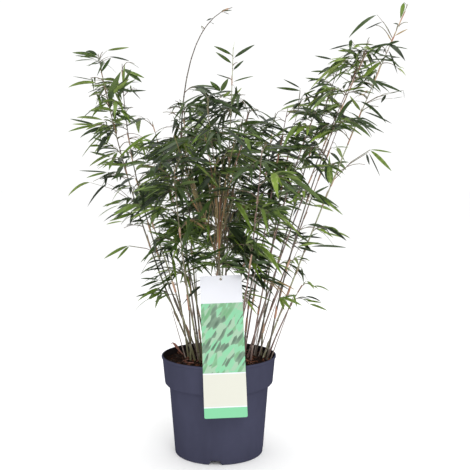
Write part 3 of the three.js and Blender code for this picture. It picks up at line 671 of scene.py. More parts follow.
@dataclass
class Soil:
    """The potting peat, uneven on top, with bits of bark on it."""

    height: float = 185.0
    radius: float = 110.8
    foot_height: float = 13.5
    foot_radius: float = 86.5
    wall_steps: Outline = ((96.8, 132.0), (98.9, 139.0), (106.2, 147.0))
    sides: int = 96
    rings: int = 34
    lumps: tuple[Span, ...] = ((26, 5.0), (7, 3.2))
    rim_rise: float = 0.15
    rim_fade: float = 12.0
    chips: int = 620
    chip_sizes: Span = (1.5, 5.5)
    fallen: int = 12
    twig_lengths: Span = (18.0, 36.0)
    draw: np.random.Generator = field(default_factory=lambda: np.random.default_rng(71))

    def ground(self) -> Piece:
        """Model the body of peat with its uneven top.

        Returns:
            The soil.
        """
        edge, top_height = self.radius * MM, (self.height - 1) * MM
        steps = [(self.foot_radius, self.foot_height), *self.wall_steps, (self.radius, self.height)]
        soil = turned(steps, self.sides)
        bpy.ops.object.mode_set(mode="EDIT")
        bpy.ops.mesh.select_mode(type="FACE")
        bpy.ops.mesh.select_all(action="DESELECT")
        bpy.ops.object.mode_set(mode="OBJECT")
        for face in soil.data.polygons:
            face.select = face.center.z > top_height
        bpy.ops.object.mode_set(mode="EDIT")
        for _ in range(self.rings):
            bpy.ops.mesh.inset(thickness=self.radius * MM / (self.rings + 2))
        bpy.ops.object.mode_set(mode="OBJECT")
        top = soil.vertex_groups.new(name="top")
        for corner in soil.data.vertices:
            if corner.co.z > top_height:
                inward = edge - corner.co.xy.length
                rise = self.rim_rise + inward / (self.rim_fade * MM)
                top.add([corner.index], min(1.0, rise), "REPLACE")
        raised = {"texture_coords": "LOCAL", "vertex_group": "top", "direction": "Z", "mid_level": 0.42}
        for size, strength in self.lumps:
            clouds = bpy.data.textures.new(f"lumps_{size}", "CLOUDS")
            clouds.noise_scale = size * MM
            clouds.noise_depth = 3
            modify(soil, "DISPLACE", texture=clouds, strength=strength * MM, **raised)
        settle(soil, "potting_soil", [PEAT.material()])
        smooth(soil, 70)
        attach(soil, "root")
        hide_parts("soil")
        return soil

    def litter(self, finish: Finish, share: float) -> Piece:
        """Scatter bits on the soil.

        Args:
            finish: What the bits are made of.
            share: Share of all the bits.

        Returns:
            The joined bits.
        """
        pile, draw = MeshPile(), self.draw
        block = np.array([(x, y, z) for x in (-0.5, 0.5) for y in (-0.5, 0.5) for z in (-0.5, 0.5)])
        faces = [(0, 1, 3, 2), (4, 6, 7, 5), (0, 4, 5, 1), (2, 3, 7, 6), (0, 2, 6, 4), (1, 5, 7, 3)]
        for _ in range(round(self.chips * share)):
            far = (self.radius - 7) * math.sqrt(draw.random())
            angle, size = draw.uniform(0, 2 * math.pi), draw.uniform(*self.chip_sizes)
            shape = block * [size * draw.uniform(*span) for span in ((1.0, 2.6), (0.6, 1.1), (0.35, 0.8))]
            shape = shape * draw.uniform(0.65, 1.0, (8, 3))
            turn = Euler((draw.normal(0, 0.35), draw.normal(0, 0.35), draw.uniform(0, 6.28))).to_matrix()
            place = around(angle, far, self.height + draw.uniform(-0.2, 1.8))
            pile.add(shape @ np.array(turn).T + np.array(place), faces)
        bits = pile.piece(finish.name, [finish.material()], 20)
        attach(bits, "root")
        return bits

    def fallen_twigs(self) -> Piece:
        """Lay thin twigs on the soil, and one crooked bit of root over the rim.

        Returns:
            The joined twigs.
        """
        pile, draw = MeshPile(), self.draw
        for _ in range(self.fallen):
            far = (self.radius - 36) * math.sqrt(draw.random())
            angle, turn = draw.uniform(0, 2 * math.pi, 2)
            start, ahead = around(angle, far, self.height + 2.2), around(turn)
            reach = draw.uniform(*self.twig_lengths)
            points = [start + ahead * (reach * i / 4) + UP * (0.5 * (i % 2)) for i in range(5)]
            pile.tube(points, [1.0, 0.95, 0.85, 0.75, 0.5], 6)
        crook = [(-76, 45, 186), (-84, 51, 193), (-90, 56, 200.5), (-94, 59, 204.5)]
        crook += [(-98, 60, 207), (-101, 58, 205.5)]
        pile.tube([Vector(place) for place in crook], [1.3, 1.8, 3.0, 2.6, 1.2, 0.6], 8)
        dry = bits_of("dry_twigs", rgb(70, 46, 40), rgb(168, 118, 104))
        twigs = pile.piece("fallen_twigs", [dry.material()], 60)
        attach(twigs, "root")
        return twigs

    def build(self) -> list[Piece]:
        """Model the soil and its bits.

        Returns:
            The soil, the bark, the crumbs and the twigs.
        """
        bark = bits_of("bark_chips", rgb(62, 36, 26), rgb(112, 70, 48))
        crumbs = bits_of("peat_crumbs", rgb(24, 17, 14), rgb(50, 35, 28))
        return [self.ground(), self.litter(bark, 0.4), self.litter(crumbs, 0.6), self.fallen_twigs()]


@dataclass
class Label:
    """The plant label: a thin card that leans back on the front of the rim."""

    width: float = 80.0
    length: float = 266.0
    thick: float = 0.8
    corner: float = 3.0
    lean: float = 73.6
    turn: float = 2.4
    side: float = 12.2
    below_rim: float = 92.2
    hole_radius: float = 2.5
    hole_inset: float = 7.0
    margin: float = 12.0
    seat: float = 0.3
    pot: Pot = field(default_factory=Pot)

    def frame(self) -> Matrix:
        """The label's own frame in millimetres: X across, Y up it, Z out of its front.

        Returns:
            The frame, which carries the label's places to the pot's.
        """
        facing = Matrix.Rotation(math.radians(self.lean), 3, "X")
        facing = facing @ Matrix.Rotation(math.radians(self.turn), 3, "Z")
        rim = Vector((0, -self.pot.lip_radius, self.pot.height))
        return Matrix.Translation(rim + self.seat * (facing @ UP)) @ facing.to_4x4()

    def build(self) -> Piece:
        """Model the label.

        Returns:
            The label.
        """
        middle = (self.side * MM, (self.length / 2 - self.below_rim) * MM, self.thick * MM / 2)
        bpy.ops.mesh.primitive_cube_add(size=1, location=middle)
        card = bpy.context.object
        card.scale = (self.width * MM, self.length * MM, self.thick * MM)
        bpy.ops.object.transform_apply()
        bpy.ops.object.mode_set(mode="EDIT")
        bpy.ops.mesh.select_mode(type="EDGE")
        bpy.ops.mesh.select_all(action="DESELECT")
        bpy.ops.object.mode_set(mode="OBJECT")
        for edge in card.data.edges:
            first, second = (card.data.vertices[i].co for i in edge.vertices)
            edge.select = abs(first.z - second.z) > self.thick * MM / 2
        bpy.ops.object.mode_set(mode="EDIT")
        bpy.ops.mesh.bevel(offset=self.corner * MM, segments=5)
        bpy.ops.object.mode_set(mode="OBJECT")
        hole = (self.side * MM, (self.length - self.below_rim - self.hole_inset) * MM, 0)
        radius = self.hole_radius * MM
        bpy.ops.mesh.primitive_cylinder_add(vertices=24, radius=radius, depth=4 * MM, location=hole)
        cut(card, bpy.context.object)
        sharp = math.radians(50)
        modify(card, "BEVEL", width=0.12 * MM, segments=1, limit_method="ANGLE", angle_limit=sharp)
        settle(card, "plant_label", [LabelPrint().material(), CARD_STOCK.material()])
        self.print_card(card.data)
        frame = self.frame()
        card.data.transform(Matrix.Translation(frame.translation * MM) @ frame.to_3x3().to_4x4())
        smooth(card, 30)
        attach(card, "root")
        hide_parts("label_card")
        return card

    def print_card(self, mesh: bpy.types.Mesh) -> None:
        """Lay the print's coordinates on the card and leave its back plain.

        Args:
            mesh: The card's mesh, still in the label's own frame.
        """
        layer = mesh.uv_layers.active or mesh.uv_layers.new(name="print")
        for loop in mesh.loops:
            place = mesh.vertices[loop.vertex_index].co / MM
            across = (place.x - self.side) / self.width + 0.5
            layer.data[loop.index].uv = (across, (place.y + self.below_rim) / self.length)
        for face in mesh.polygons:
            face.material_index = 0 if face.normal.z > 0.5 else 1


# What each stream of draws adds to its cane's seed, or to the number of its full spot.
JOINT_DRAWS, CANE_DRAWS, TONE_DRAWS, SPRAY_DRAWS, INFILL_DRAWS, SPOT_DRAWS = range(2000, 8000, 1000)


class Draws:
    """The repeatable stream of draws from 0 to 1 that the solids use."""

    def __init__(self, seed: int) -> None:
        """Start the stream at a seed."""
        self.state = seed

    def __call__(self) -> float:
        """The next draw.

        Returns:
            A number from 0 to 1.
        """
        whole = 0xFFFFFFFF
        self.state = (self.state + 0x6D2B79F5) & whole
        mixed = ((self.state ^ (self.state >> 15)) * (1 | self.state)) & whole
        mixed = ((mixed + (((mixed ^ (mixed >> 7)) * (61 | mixed)) & whole)) & whole) ^ mixed
        return (mixed ^ (mixed >> 14)) / 4294967296

    def between(self, low: float, high: float) -> float:
        """The next draw, between two values."""
        return low + (high - low) * self()


@dataclass
class Cane:
    """One cane: its foot, middle and tip, where it is leafy, and how its branches grow."""

    name: str
    foot: tuple[float, float]
    middle: tuple[float, float, float]
    tip: tuple[float, float, float]
    leafy: tuple[float, float]
    branches: int
    reach: float
    leaf_size: float
    seed: int
    foot_height: float = 186.3

    def point(self, place: float) -> Vector:
        """The point at a fraction of the cane.

        Args:
            place: The fraction, from 0 at the foot.

        Returns:
            The point.
        """
        start = Vector((*self.foot, self.foot_height))
        end = Vector(self.tip)
        bend = 2 * Vector(self.middle) - (start + end) / 2
        return (1 - place) ** 2 * start + 2 * place * (1 - place) * bend + place**2 * end

    def place_at(self, height: float) -> float:
        """The fraction of the cane that lies at a height.

        Args:
            height: The height in millimetres.

        Returns:
            The fraction.
        """
        low, high = 0.0, 1.0
        for _ in range(24):
            middle = (low + high) / 2
            low, high = (middle, high) if self.point(middle).z < height else (low, middle)
        return low

    def travel(self, place: float) -> Vector:
        """The cane's direction at a fraction of it."""
        return (self.point(min(place + 1e-4, 1)) - self.point(max(place - 1e-4, 0))).normalized()

    def stretch(self, start: float, end: float, steps: int) -> list[Vector]:
        """Points in even steps between two fractions of the cane."""
        return [self.point(start + (end - start) * i / steps) for i in range(steps + 1)]

    def length(self) -> float:
        """The cane's length in millimetres."""
        points = self.stretch(0, 1, 40)
        return sum((after - before).length for before, after in zip(points, points[1:]))


@dataclass
class Branch:
    """One branch or twig, which arches over."""

    root: Vector
    heading: Vector
    length: float
    leaf_size: float
    arch: float = 0.45

    def at(self, along: float) -> Vector:
        """The point at a fraction of the branch."""
        return self.root + self.heading * (self.length * along) - UP * (self.arch * self.length * along**2)

    def travel(self, along: float) -> Vector:
        """The branch's direction at a fraction of it."""
        return (self.heading - UP * (2 * self.arch * along)).normalized()

    def points(self, steps: int) -> list[Vector]:
        """Evenly spaced points from its root to its tip."""
        return [self.at(i / steps) for i in range(steps + 1)]


CANES = [
    Cane(*row)
    for row in (
        ("left_tall", (-52, 28), (-164, 15, 490), (-238, 10, 796), (0.48, 0.98), 9, 52, 0.9, 11),
        ("left_second", (-45, 55), (-160, 70, 500), (-200, 76, 786), (0.5, 0.98), 6, 48, 0.9, 12),
        ("left_low", (-48, -12), (-100, -60, 390), (-150, -100, 535), (0.66, 0.97), 3, 46, 0.9, 13),
        ("left_outer", (-62, 10), (-84, 12, 335), (-104, 0, 440), (0.6, 0.97), 3, 40, 0.8, 14),
        ("left_short", (-57, -7), (-62, -14, 320), (-84, -30, 406), (0.6, 0.97), 3, 38, 0.8, 15),
        ("front_left", (-36, -30), (-62, -108, 385), (-76, -165, 570), (0.5, 0.97), 5, 64, 1.1, 16),
        ("center_left", (-33, -4), (-56, -14, 450), (-66, -35, 690), (0.42, 0.96), 9, 72, 1.12, 17),
        ("whip", (-38, 20), (-72, 20, 690), (27, 25, 889), (0.3, 0.5), 6, 64, 1.0, 18),
        ("center_top", (-5, 10), (16, 10, 506), (29, 10, 808), (0.36, 0.84), 8, 66, 1.05, 19),
        ("arch_left", (3, -18), (-12, -62, 430), (-104, -165, 570), (0.5, 0.97), 3, 62, 1.05, 20),
        ("center_right", (14, 24), (20, 32, 446), (64, 42, 700), (0.4, 0.96), 9, 76, 1.12, 21),
        ("front_center", (-12, -38), (2, -66, 432), (-18, -140, 680), (0.46, 0.97), 8, 74, 1.15, 22),
        ("front_right", (32, -28), (62, -100, 400), (80, -160, 600), (0.46, 0.97), 5, 68, 1.1, 23),
        ("front_low", (16, -8), (38, -34, 330), (62, -70, 430), (0.5, 0.97), 4, 54, 1.05, 35),
        ("middle_low", (-16, -14), (-6, -30, 330), (6, -60, 430), (0.55, 0.97), 4, 54, 1.05, 36),
        ("right_inner", (50, 2), (94, 8, 455), (138, 20, 690), (0.5, 0.96), 4, 56, 0.95, 24),
        ("right_mid", (64, -8), (120, -4, 465), (206, 0, 716), (0.46, 0.97), 6, 56, 0.9, 25),
        ("right_second", (74, 28), (148, 38, 478), (240, 50, 768), (0.46, 0.97), 7, 56, 0.9, 26),
        ("right_upright", (86, 36), (115, 65, 445), (165, 100, 696), (0.42, 0.97), 4, 60, 1.05, 27),
        ("right_far", (90, 12), (222, -4, 535), (366, -20, 886), (0.56, 0.94), 5, 48, 0.85, 28),
        ("right_third", (97, -4), (165, -30, 482), (282, -50, 790), (0.5, 0.98), 8, 54, 0.95, 29),
        ("right_low", (99, 16), (133, 6, 272), (166, -12, 338), (0.55, 0.95), 2, 30, 0.55, 30),
        ("right_crest", (58, 14), (160, 10, 490), (298, 14, 822), (0.55, 0.98), 8, 46, 0.9, 37),
        ("back_left", (-25, 54), (-86, 120, 440), (-150, 180, 675), (0.44, 0.97), 5, 74, 1.15, 31),
        ("back_middle", (5, 62), (-4, 130, 461), (-12, 195, 730), (0.42, 0.97), 6, 76, 1.15, 32),
        ("back_right", (50, 54), (82, 120, 440), (122, 190, 695), (0.42, 0.97), 5, 74, 1.15, 33),
        ("back_far_right", (74, 52), (170, 104, 441), (270, 140, 700), (0.54, 0.97), 4, 60, 1.0, 34),
    )
]

# Branches given one by one: cane, fraction of it, heading, length and size of the leaves.
LONE_BRANCHES = (
    ("right_far", 0.99, (-0.1, -0.8, 0.3), 12, 0.45),
    ("right_far", 0.9, (-0.45, 0.1, 0.95), 70, 0.8),
    ("right_far", 0.84, (0.9, 0.1, 0.3), 26, 0.45),
    ("right_far", 0.53, (0.8, 0, 0.8), 84, 0.8),
    ("right_far", 0.37, (0.8, -0.1, 0.8), 34, 0.75),
    ("left_tall", 0.6, (-0.9, -0.1, 0.35), 74, 0.9),
    ("left_tall", 0.44, (-0.9, -0.2, 0.4), 42, 0.85),
    ("left_tall", 0.86, (-0.8, 0.1, 0.5), 44, 0.85),
    ("left_tall", 0.95, (0.2, -0.6, 0.9), 30, 0.9),
    ("left_second", 0.88, (0.7, -0.3, 0.8), 46, 0.85),
    ("center_top", 0.94, (0.6, -0.1, 0.8), 16, 0.55),
    ("center_top", 0.97, (-0.6, -0.1, 0.8), 14, 0.55),
    ("center_top", 0.89, (-0.6, -0.1, 0.8), 18, 0.55),
    ("whip", 0.93, (0.5, -0.2, 0.6), 14, 0.25),
    ("whip", 0.8, (-0.4, -0.2, 0.8), 12, 0.2),
    ("right_third", 0.44, (0.9, 0, 0.7), 44, 0.85),
    ("right_third", 0.34, (0.9, 0, 0.5), 40, 0.8),
    ("right_second", 0.32, (0.8, -0.4, 0.6), 36, 0.75),
    ("left_outer", 0.5, (-0.8, -0.2, 0.4), 34, 0.75),
)


def gaps_squared(start: Vector, end: Vector, starts: np.ndarray, ends: np.ndarray) -> np.ndarray:
    """Least squared distances between one straight segment and many.

    Args:
        start: The segment's start.
        end: The segment's end.
        starts: The other segments' starts, one row each.
        ends: The other segments' ends.

    Returns:
        One squared distance for each of the others.
    """
    first = np.array(end - start)
    others = ends - starts
    apart = np.array(start) - starts
    a = first @ first
    e = np.einsum("ij,ij->i", others, others)
    f = np.einsum("ij,ij->i", others, apart)
    c = apart @ first
    b = others @ first
    spread = a * e - b * b
    s = np.clip(np.where(spread > 1e-12, (b * f - c * e) / np.maximum(spread, 1e-12), 0), 0, 1)
    t = (b * s + f) / e
    s = np.where(t < 0, np.clip(-c / a, 0, 1), np.where(t > 1, np.clip((b - c) / a, 0, 1), s))
    t = np.clip(t, 0, 1)
    between = apart + s[:, None] * first - t[:, None] * others
    return np.einsum("ij,ij->i", between, between)


@dataclass
class GrowthRule:
    """The rule by which branches leave the canes, the same as in the solids."""

    label: Label
    golden_turn: float = 2.39996
    turn_play: float = 0.9
    outward_pull: float = 0.3
    rise: float = 0.7
    rise_play: float = 0.7
    turn_from: float = 0.3
    turn_span: float = 0.5
    low_length: float = 1.15
    length_taper: float = 0.5
    shortest: float = 0.75
    length_play: float = 0.5
    leader_from: float = 0.9
    leader_play: float = 0.5
    topward: float = 0.75
    branch_steps: int = 3
    branch_radius: float = 1.2
    tries: int = 8
    cane_radius: float = 2.5
    limb_room: float = 2.0
    low_corner: tuple[float, float, float] = (-308, -265, 215)
    high_corner: tuple[float, float, float] = (370, 265, 892)

    def __post_init__(self) -> None:
        """Set up the label's frame and the limbs that the canes make."""
        self.to_label = self.label.frame().inverted()
        self.limbs: list[tuple[Vector, Vector, float, str]] = []
        for cane in CANES:
            self.keep(cane.stretch(0, 1, 12), self.cane_radius, cane.name)

    def keep(self, points: Sequence[Vector], radius: float, owner: str) -> None:
        """Remember a limb of a cane, so that later ones of other canes stay clear of it."""
        self.limbs += [(start, end, radius, owner) for start, end in zip(points, points[1:])]

    def in_open_air(self, point: Vector) -> bool:
        """Whether a point is in the crown's reach and clear of the label.

        Args:
            point: The point to test.

        Returns:
            True where a leaf may be.
        """
        reach = zip(self.low_corner, point, self.high_corner)
        if not all(low <= value <= high for low, value, high in reach):
            return False
        local = self.to_label @ point
        aside = abs(local.x - self.label.side) - self.label.width / 2
        above = local.y - (self.label.length - self.label.below_rim)
        near = aside < self.label.margin and above < self.label.margin / 2
        return not (near and local.z > -self.label.margin)

    def is_clear(self, points: Sequence[Vector], owner: str) -> bool:
        """Whether a limb keeps its distance from those of other canes.

        Args:
            points: Its points.
            owner: The name of its cane.

        Returns:
            True where it has room.
        """
        starts, ends, radii, _ = zip(*(limb for limb in self.limbs if limb[3] != owner))
        starts, ends = np.array(starts), np.array(ends)
        least = (np.array(radii) + self.branch_radius + self.limb_room) ** 2
        return all(np.all(gaps_squared(a, b, starts, ends) > least) for a, b in zip(points, points[1:]))

    def branches_of(self, cane: Cane) -> list[Branch]:
        """Grow the branches of one cane.

        Args:
            cane: The cane.

        Returns:
            Its branches.
        """
        draw = Draws(cane.seed)
        grown: list[Branch] = []

        def grow(branch: Branch) -> bool:
            """Keep a branch if it has room.

            Args:
                branch: The branch.

            Returns:
                True if it was kept.
            """
            points = branch.points(self.branch_steps)
            room = all(self.in_open_air(point) for point in points) and self.is_clear(points, cane.name)
            if room:
                self.keep(points, self.branch_radius, cane.name)
                grown.append(branch)
            return room

        for owner, place, heading, length, leaf_size in LONE_BRANCHES:
            if owner == cane.name:
                grow(Branch(cane.point(place), Vector(heading).normalized(), length, leaf_size))
        start, end = cane.leafy
        for k in range(cane.branches):
            leads = k == cane.branches - 1 and end > self.leader_from
            turn_share = (k + self.turn_from + self.turn_span * draw()) / cane.branches
            share = 1.0 if leads else turn_share**self.topward
            place = start + (end - start) * share
            root = cane.point(place)
            outward = Vector((root.x, root.y, 0)).normalized()
            for attempt in range(self.tries):
                heading = around((k + attempt) * self.golden_turn + cane.seed + self.turn_play * draw())
                taper = self.low_length - self.length_taper * share
                length = cane.reach * taper * (self.shortest + self.length_play * draw())
                if leads:
                    heading = heading * self.leader_play + cane.travel(place)
                else:
                    heading = (heading + outward * self.outward_pull).normalized()
                    heading.z = self.rise + self.rise_play * draw()
                if grow(Branch(root, heading.normalized(), length, cane.leaf_size)):
                    break
        return grown


@dataclass
class Canes:
    """The canes as round jointed limbs, with papery sheaths on about half of their joints.

    Each row of a joint's shape has its shift along the cane in millimetres, its share of the cane's
    radius, how dark its scar is and how thick the bloom.
    """

    foot_radius: float = 1.95
    tip_radius: float = 0.7
    foot_swell: float = 1.12
    tip_narrow: float = 0.9
    sides: int = 10
    shoots: int = 34
    middle_shoots: int = 58
    shoot_seed: int = 91
    above_label: float = 384.0
    shoots_top: float = 500.0
    middle_canes: tuple[str, ...] = ("center_top", "front_center", "arch_left")
    shoot_starts: Span = (0.0, 0.25)
    shoot_aside: float = 7.0
    shoot_lengths: Span = (50.0, 150.0)
    shoot_drifts: Span = (0.02, 0.2)
    shoot_sags: Span = (-0.08, 0.12)
    shoot_radii: tuple[float, ...] = (1.1, 1.0, 0.9, 0.8, 0.65, 0.4)
    shoot_bloom: float = 0.35
    middle_lengths: Span = (60.0, 190.0)
    middle_aside: Span = (-0.3, 0.32)
    middle_forward: Span = (-0.3, 0.1)
    middle_sag: float = 0.3
    middle_radii: tuple[float, ...] = (1.1, 1.05, 1.0, 0.9, 0.8, 0.65, 0.4)
    sandy_to: float = 0.6
    olive_to: float = 0.88
    first_joint: float = 38.0
    first_play: Span = (0.5, 1.2)
    joint_gap: float = 58.0
    joint_play: Span = (0.85, 1.15)
    joint_fade: float = 0.4
    bare_tip: float = 20.0
    zigzag: float = 0.7
    straight_foot: float = 30.0
    knot_from: float = 1.2
    between_knots: float = 0.4
    bloom: float = 0.5
    sheath_share: float = 0.5
    sheath_lengths: Span = (16.0, 34.0)
    sheath_wraps: Span = (3.4, 5.0)
    sheath_flares: Span = (0.1, 1.6)
    sheath_swell: float = 1.12
    sheath_room: float = 0.25
    sheath_taper: float = 0.92
    sheath_thick: float = 0.18
    sheath_rows: int = 6
    sheath_columns: int = 8
    pale_canes: tuple[str, ...] = ("right_far", "center_top")
    brown_between: Span = (0.6, 0.85)
    right_from: float = 45.0
    right_flush: float = 0.6
    left_flush: float = 0.15
    piles: dict[CaneTone, MeshPile] = field(default_factory=lambda: {tone: MeshPile() for tone in CaneTone})
    sheaths: MeshPile = field(default_factory=MeshPile)
    joint_shape: tuple[tuple[float, ...], ...] = (
        (-9, 1.0, 0.0, 0.0),
        (-2.4, 1.0, 0.0, 1.0),
        (-0.9, 1.04, 0.6, 0.6),
        (0, 1.3, 1.0, 0.0),
        (1.3, 1.12, 0.7, 0.0),
        (3.2, 1.0, 0.0, 0.0),
    )

    def joints_of(self, cane: Cane) -> list[float]:
        """Where the joints of a cane lie, in millimetres from its foot.

        Args:
            cane: The cane.

        Returns:
            The distances.
        """
        draw = Draws(cane.seed + JOINT_DRAWS)
        length = cane.length()
        places = [self.first_joint * draw.between(*self.first_play)]
        while places[-1] < length - self.bare_tip:
            fade = 1 - self.joint_fade * places[-1] / length
            places.append(places[-1] + self.joint_gap * fade * draw.between(*self.joint_play))
        return places[:-1]

    def radius(self, place: float) -> float:
        """The cane's radius at a fraction of it."""
        return self.foot_radius + (self.tip_radius - self.foot_radius) * place

    def add_cane(self, cane: Cane, pile: MeshPile) -> None:
        """Add one cane with its joints.

        Args:
            cane: The cane.
            pile: Where its shape goes.
        """
        draw = Draws(cane.seed + CANE_DRAWS)
        length = cane.length()
        rows = [(0.0, self.foot_swell, 0.0, 0.0), (length, self.tip_narrow, 0.0, 0.0)]
        for joint in self.joints_of(cane):
            rows += [(joint + shift, *shape) for shift, *shape in self.joint_shape]
        rows = [row for row in sorted(rows) if 0 <= row[0] <= length]
        lean = Vector((draw() - 0.5, draw() - 0.5, 0)) * self.zigzag
        points, radii = [], []
        for distance, size, _, _ in rows:
            place = distance / length
            fade = 1.0 if size > self.knot_from else self.between_knots
            fade *= min(1.0, distance / self.straight_foot)
            points.append(cane.point(place) + lean * fade)
            radii.append(self.radius(place) * size)
        scars, bloom = [row[2] for row in rows], [self.bloom * row[3] for row in rows]
        pile.tube(points, radii, self.sides, joint=scars, bloom=bloom)

    def add_sheath(self, cane: Cane, distance: float, draw: Draws) -> None:
        """Add one papery sheath round a cane, slit down one side, with a pointed end.

        Args:
            cane: The cane.
            distance: Where it starts, in millimetres from the foot.
            draw: The cane's draws.
        """
        length = cane.length()
        reach, wrap = draw.between(*self.sheath_lengths), draw.between(*self.sheath_wraps)
        turn, flare = draw.between(0, 6.28), draw.between(*self.sheath_flares)
        rows, columns = self.sheath_rows, self.sheath_columns
        inner: list[Vector] = []
        outer: list[Vector] = []
        for i in range(rows):
            along = i / (rows - 1)
            place = min((distance + reach * along) / length, 1.0)
            tangent = cane.travel(place)
            side = tangent.cross(Vector((0, 1, 0))).normalized()
            across = tangent.cross(side)
            width = wrap * (1 - along**3 * self.sheath_taper)
            away = self.radius(place) * self.sheath_swell + self.sheath_room + flare * along**2
            for k in range(columns):
                angle = turn + width * (k / (columns - 1) - 0.5)
                out = math.cos(angle) * side + math.sin(angle) * across
                inner.append(cane.point(place) + out * away)
                outer.append(cane.point(place) + out * (away + self.sheath_thick))
        count = rows * columns
        faces = []
        for a in (i * columns + k for i in range(rows - 1) for k in range(columns - 1)):
            quad = (a, a + 1, a + columns + 1, a + columns)
            faces += [tuple(corner + count for corner in quad), quad[::-1]]
        right = range(2 * columns - 1, count, columns)
        rim = [*range(columns), *right, *range(count - 2, count - columns - 1, -1)]
        rim += range(count - 2 * columns, 0, -columns)
        faces += [(a, b, b + count, a + count) for a, b in zip(rim, [*rim[1:], 0])]
        self.sheaths.add(np.array(inner + outer), faces)

    def add_shoots(self) -> None:
        """Add the thin bare shoots that stand between the canes."""
        draw = Draws(self.shoot_seed)
        for _ in range(self.shoots):
            cane = CANES[int(draw() * len(CANES))]
            start = cane.point(draw.between(*self.shoot_starts))
            aside = around(draw.between(0, 6.28))
            if draw() < 0.5:
                start = Vector((*cane.foot, cane.foot_height)) + aside * self.shoot_aside
            drift = aside * draw.between(*self.shoot_drifts)
            ahead = (cane.travel(0.2) + drift).normalized()
            reach, sag = draw.between(*self.shoot_lengths), draw.between(*self.shoot_sags)
            points = self.shoot_line(start, ahead, drift, reach, sag, 5)
            bloom = [self.shoot_bloom] * len(points)
            bare = [0.0] * len(points)
            self.piles[CaneTone.MAUVE].tube(points, self.shoot_radii, 6, joint=bare, bloom=bloom)

    def add_middle_shoots(self) -> None:
        """Add the bare shoots that fan out of the clump's middle."""
        draw = Draws(self.shoot_seed + 1)
        middle = [cane for cane in CANES if cane.name in self.middle_canes]
        for k in range(self.middle_shoots):
            cane = middle[k % len(middle)]
            start = cane.point(cane.place_at(draw.between(self.above_label, self.shoots_top)))
            drift = Vector((draw.between(*self.middle_aside), draw.between(*self.middle_forward), 0))
            ahead = (cane.travel(0.4) + drift).normalized()
            reach = draw.between(*self.middle_lengths)
            points = self.shoot_line(start, ahead, drift, reach, self.middle_sag, 6)
            chance = draw()
            other = CaneTone.OLIVE if chance < self.olive_to else CaneTone.RUSTY
            tone = CaneTone.SANDY if chance < self.sandy_to else other
            bare = [0.0] * len(points)
            self.piles[tone].tube(points, self.middle_radii, 6, joint=bare, bloom=bare)

    @staticmethod
    def shoot_line(
        start: Vector, ahead: Vector, drift: Vector, reach: float, sag: float, steps: int
    ) -> list[Vector]:
        """The middle line of a shoot that runs ahead and drifts off."""
        parts = [i / steps for i in range(steps + 1)]
        return [start + ahead * (reach * part) + drift * (reach * sag * part**2) for part in parts]

    def tone_of(self, cane: Cane, chance: float) -> CaneTone:
        """The bark of a cane, for a draw from 0 to 1.

        Args:
            cane: The cane.
            chance: The draw.

        Returns:
            The tone of its bark.
        """
        low, high = self.brown_between
        if low < chance < high or cane.name == "whip":
            return CaneTone.BROWN
        if cane.name in self.pale_canes:
            return CaneTone.PALE
        flushed = self.right_flush if cane.foot[0] > self.right_from else self.left_flush
        return CaneTone.MAUVE if chance < flushed else CaneTone.OLIVE

    def build(self) -> list[Piece]:
        """Model every cane, by tone, and the sheaths.

        Returns:
            The canes of each tone and the sheaths.
        """
        nodes: dict[CaneTone, list[str]] = {tone: [] for tone in CaneTone}
        for cane in CANES:
            draw = Draws(cane.seed + TONE_DRAWS)
            tone = self.tone_of(cane, draw())
            self.add_cane(cane, self.piles[tone])
            nodes[tone].append("cane_" + cane.name)
            for distance in self.joints_of(cane):
                if draw() < self.sheath_share:
                    self.add_sheath(cane, distance, draw)
        self.add_shoots()
        self.add_middle_shoots()
        pieces = []
        for tone, pile in self.piles.items():
            piece = pile.piece("canes_" + tone.name.lower(), [CaneBark(tone).material()], 60)
            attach(piece, "root")
            if nodes[tone]:
                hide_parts(*nodes[tone])
            pieces.append(piece)
        paper = self.sheaths.piece("cane_sheaths", [SHEATH_PAPER.material()], 60)
        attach(paper, "root")
        return [*pieces, paper]


@dataclass(frozen=True)
class Accent:
    """One leaf that stands out, on its cane or on a twig of its own.

    Its heading, breadth and bend are in hundredths, and the twig runs from the cane to the leaf.
    """

    height: float
    heading: tuple[int, int, int]
    length: float
    breadth: int
    tone: LeafTone = DEEP
    bend: int = 8
    twig: tuple[int, int, int] = (0, 0, 0)


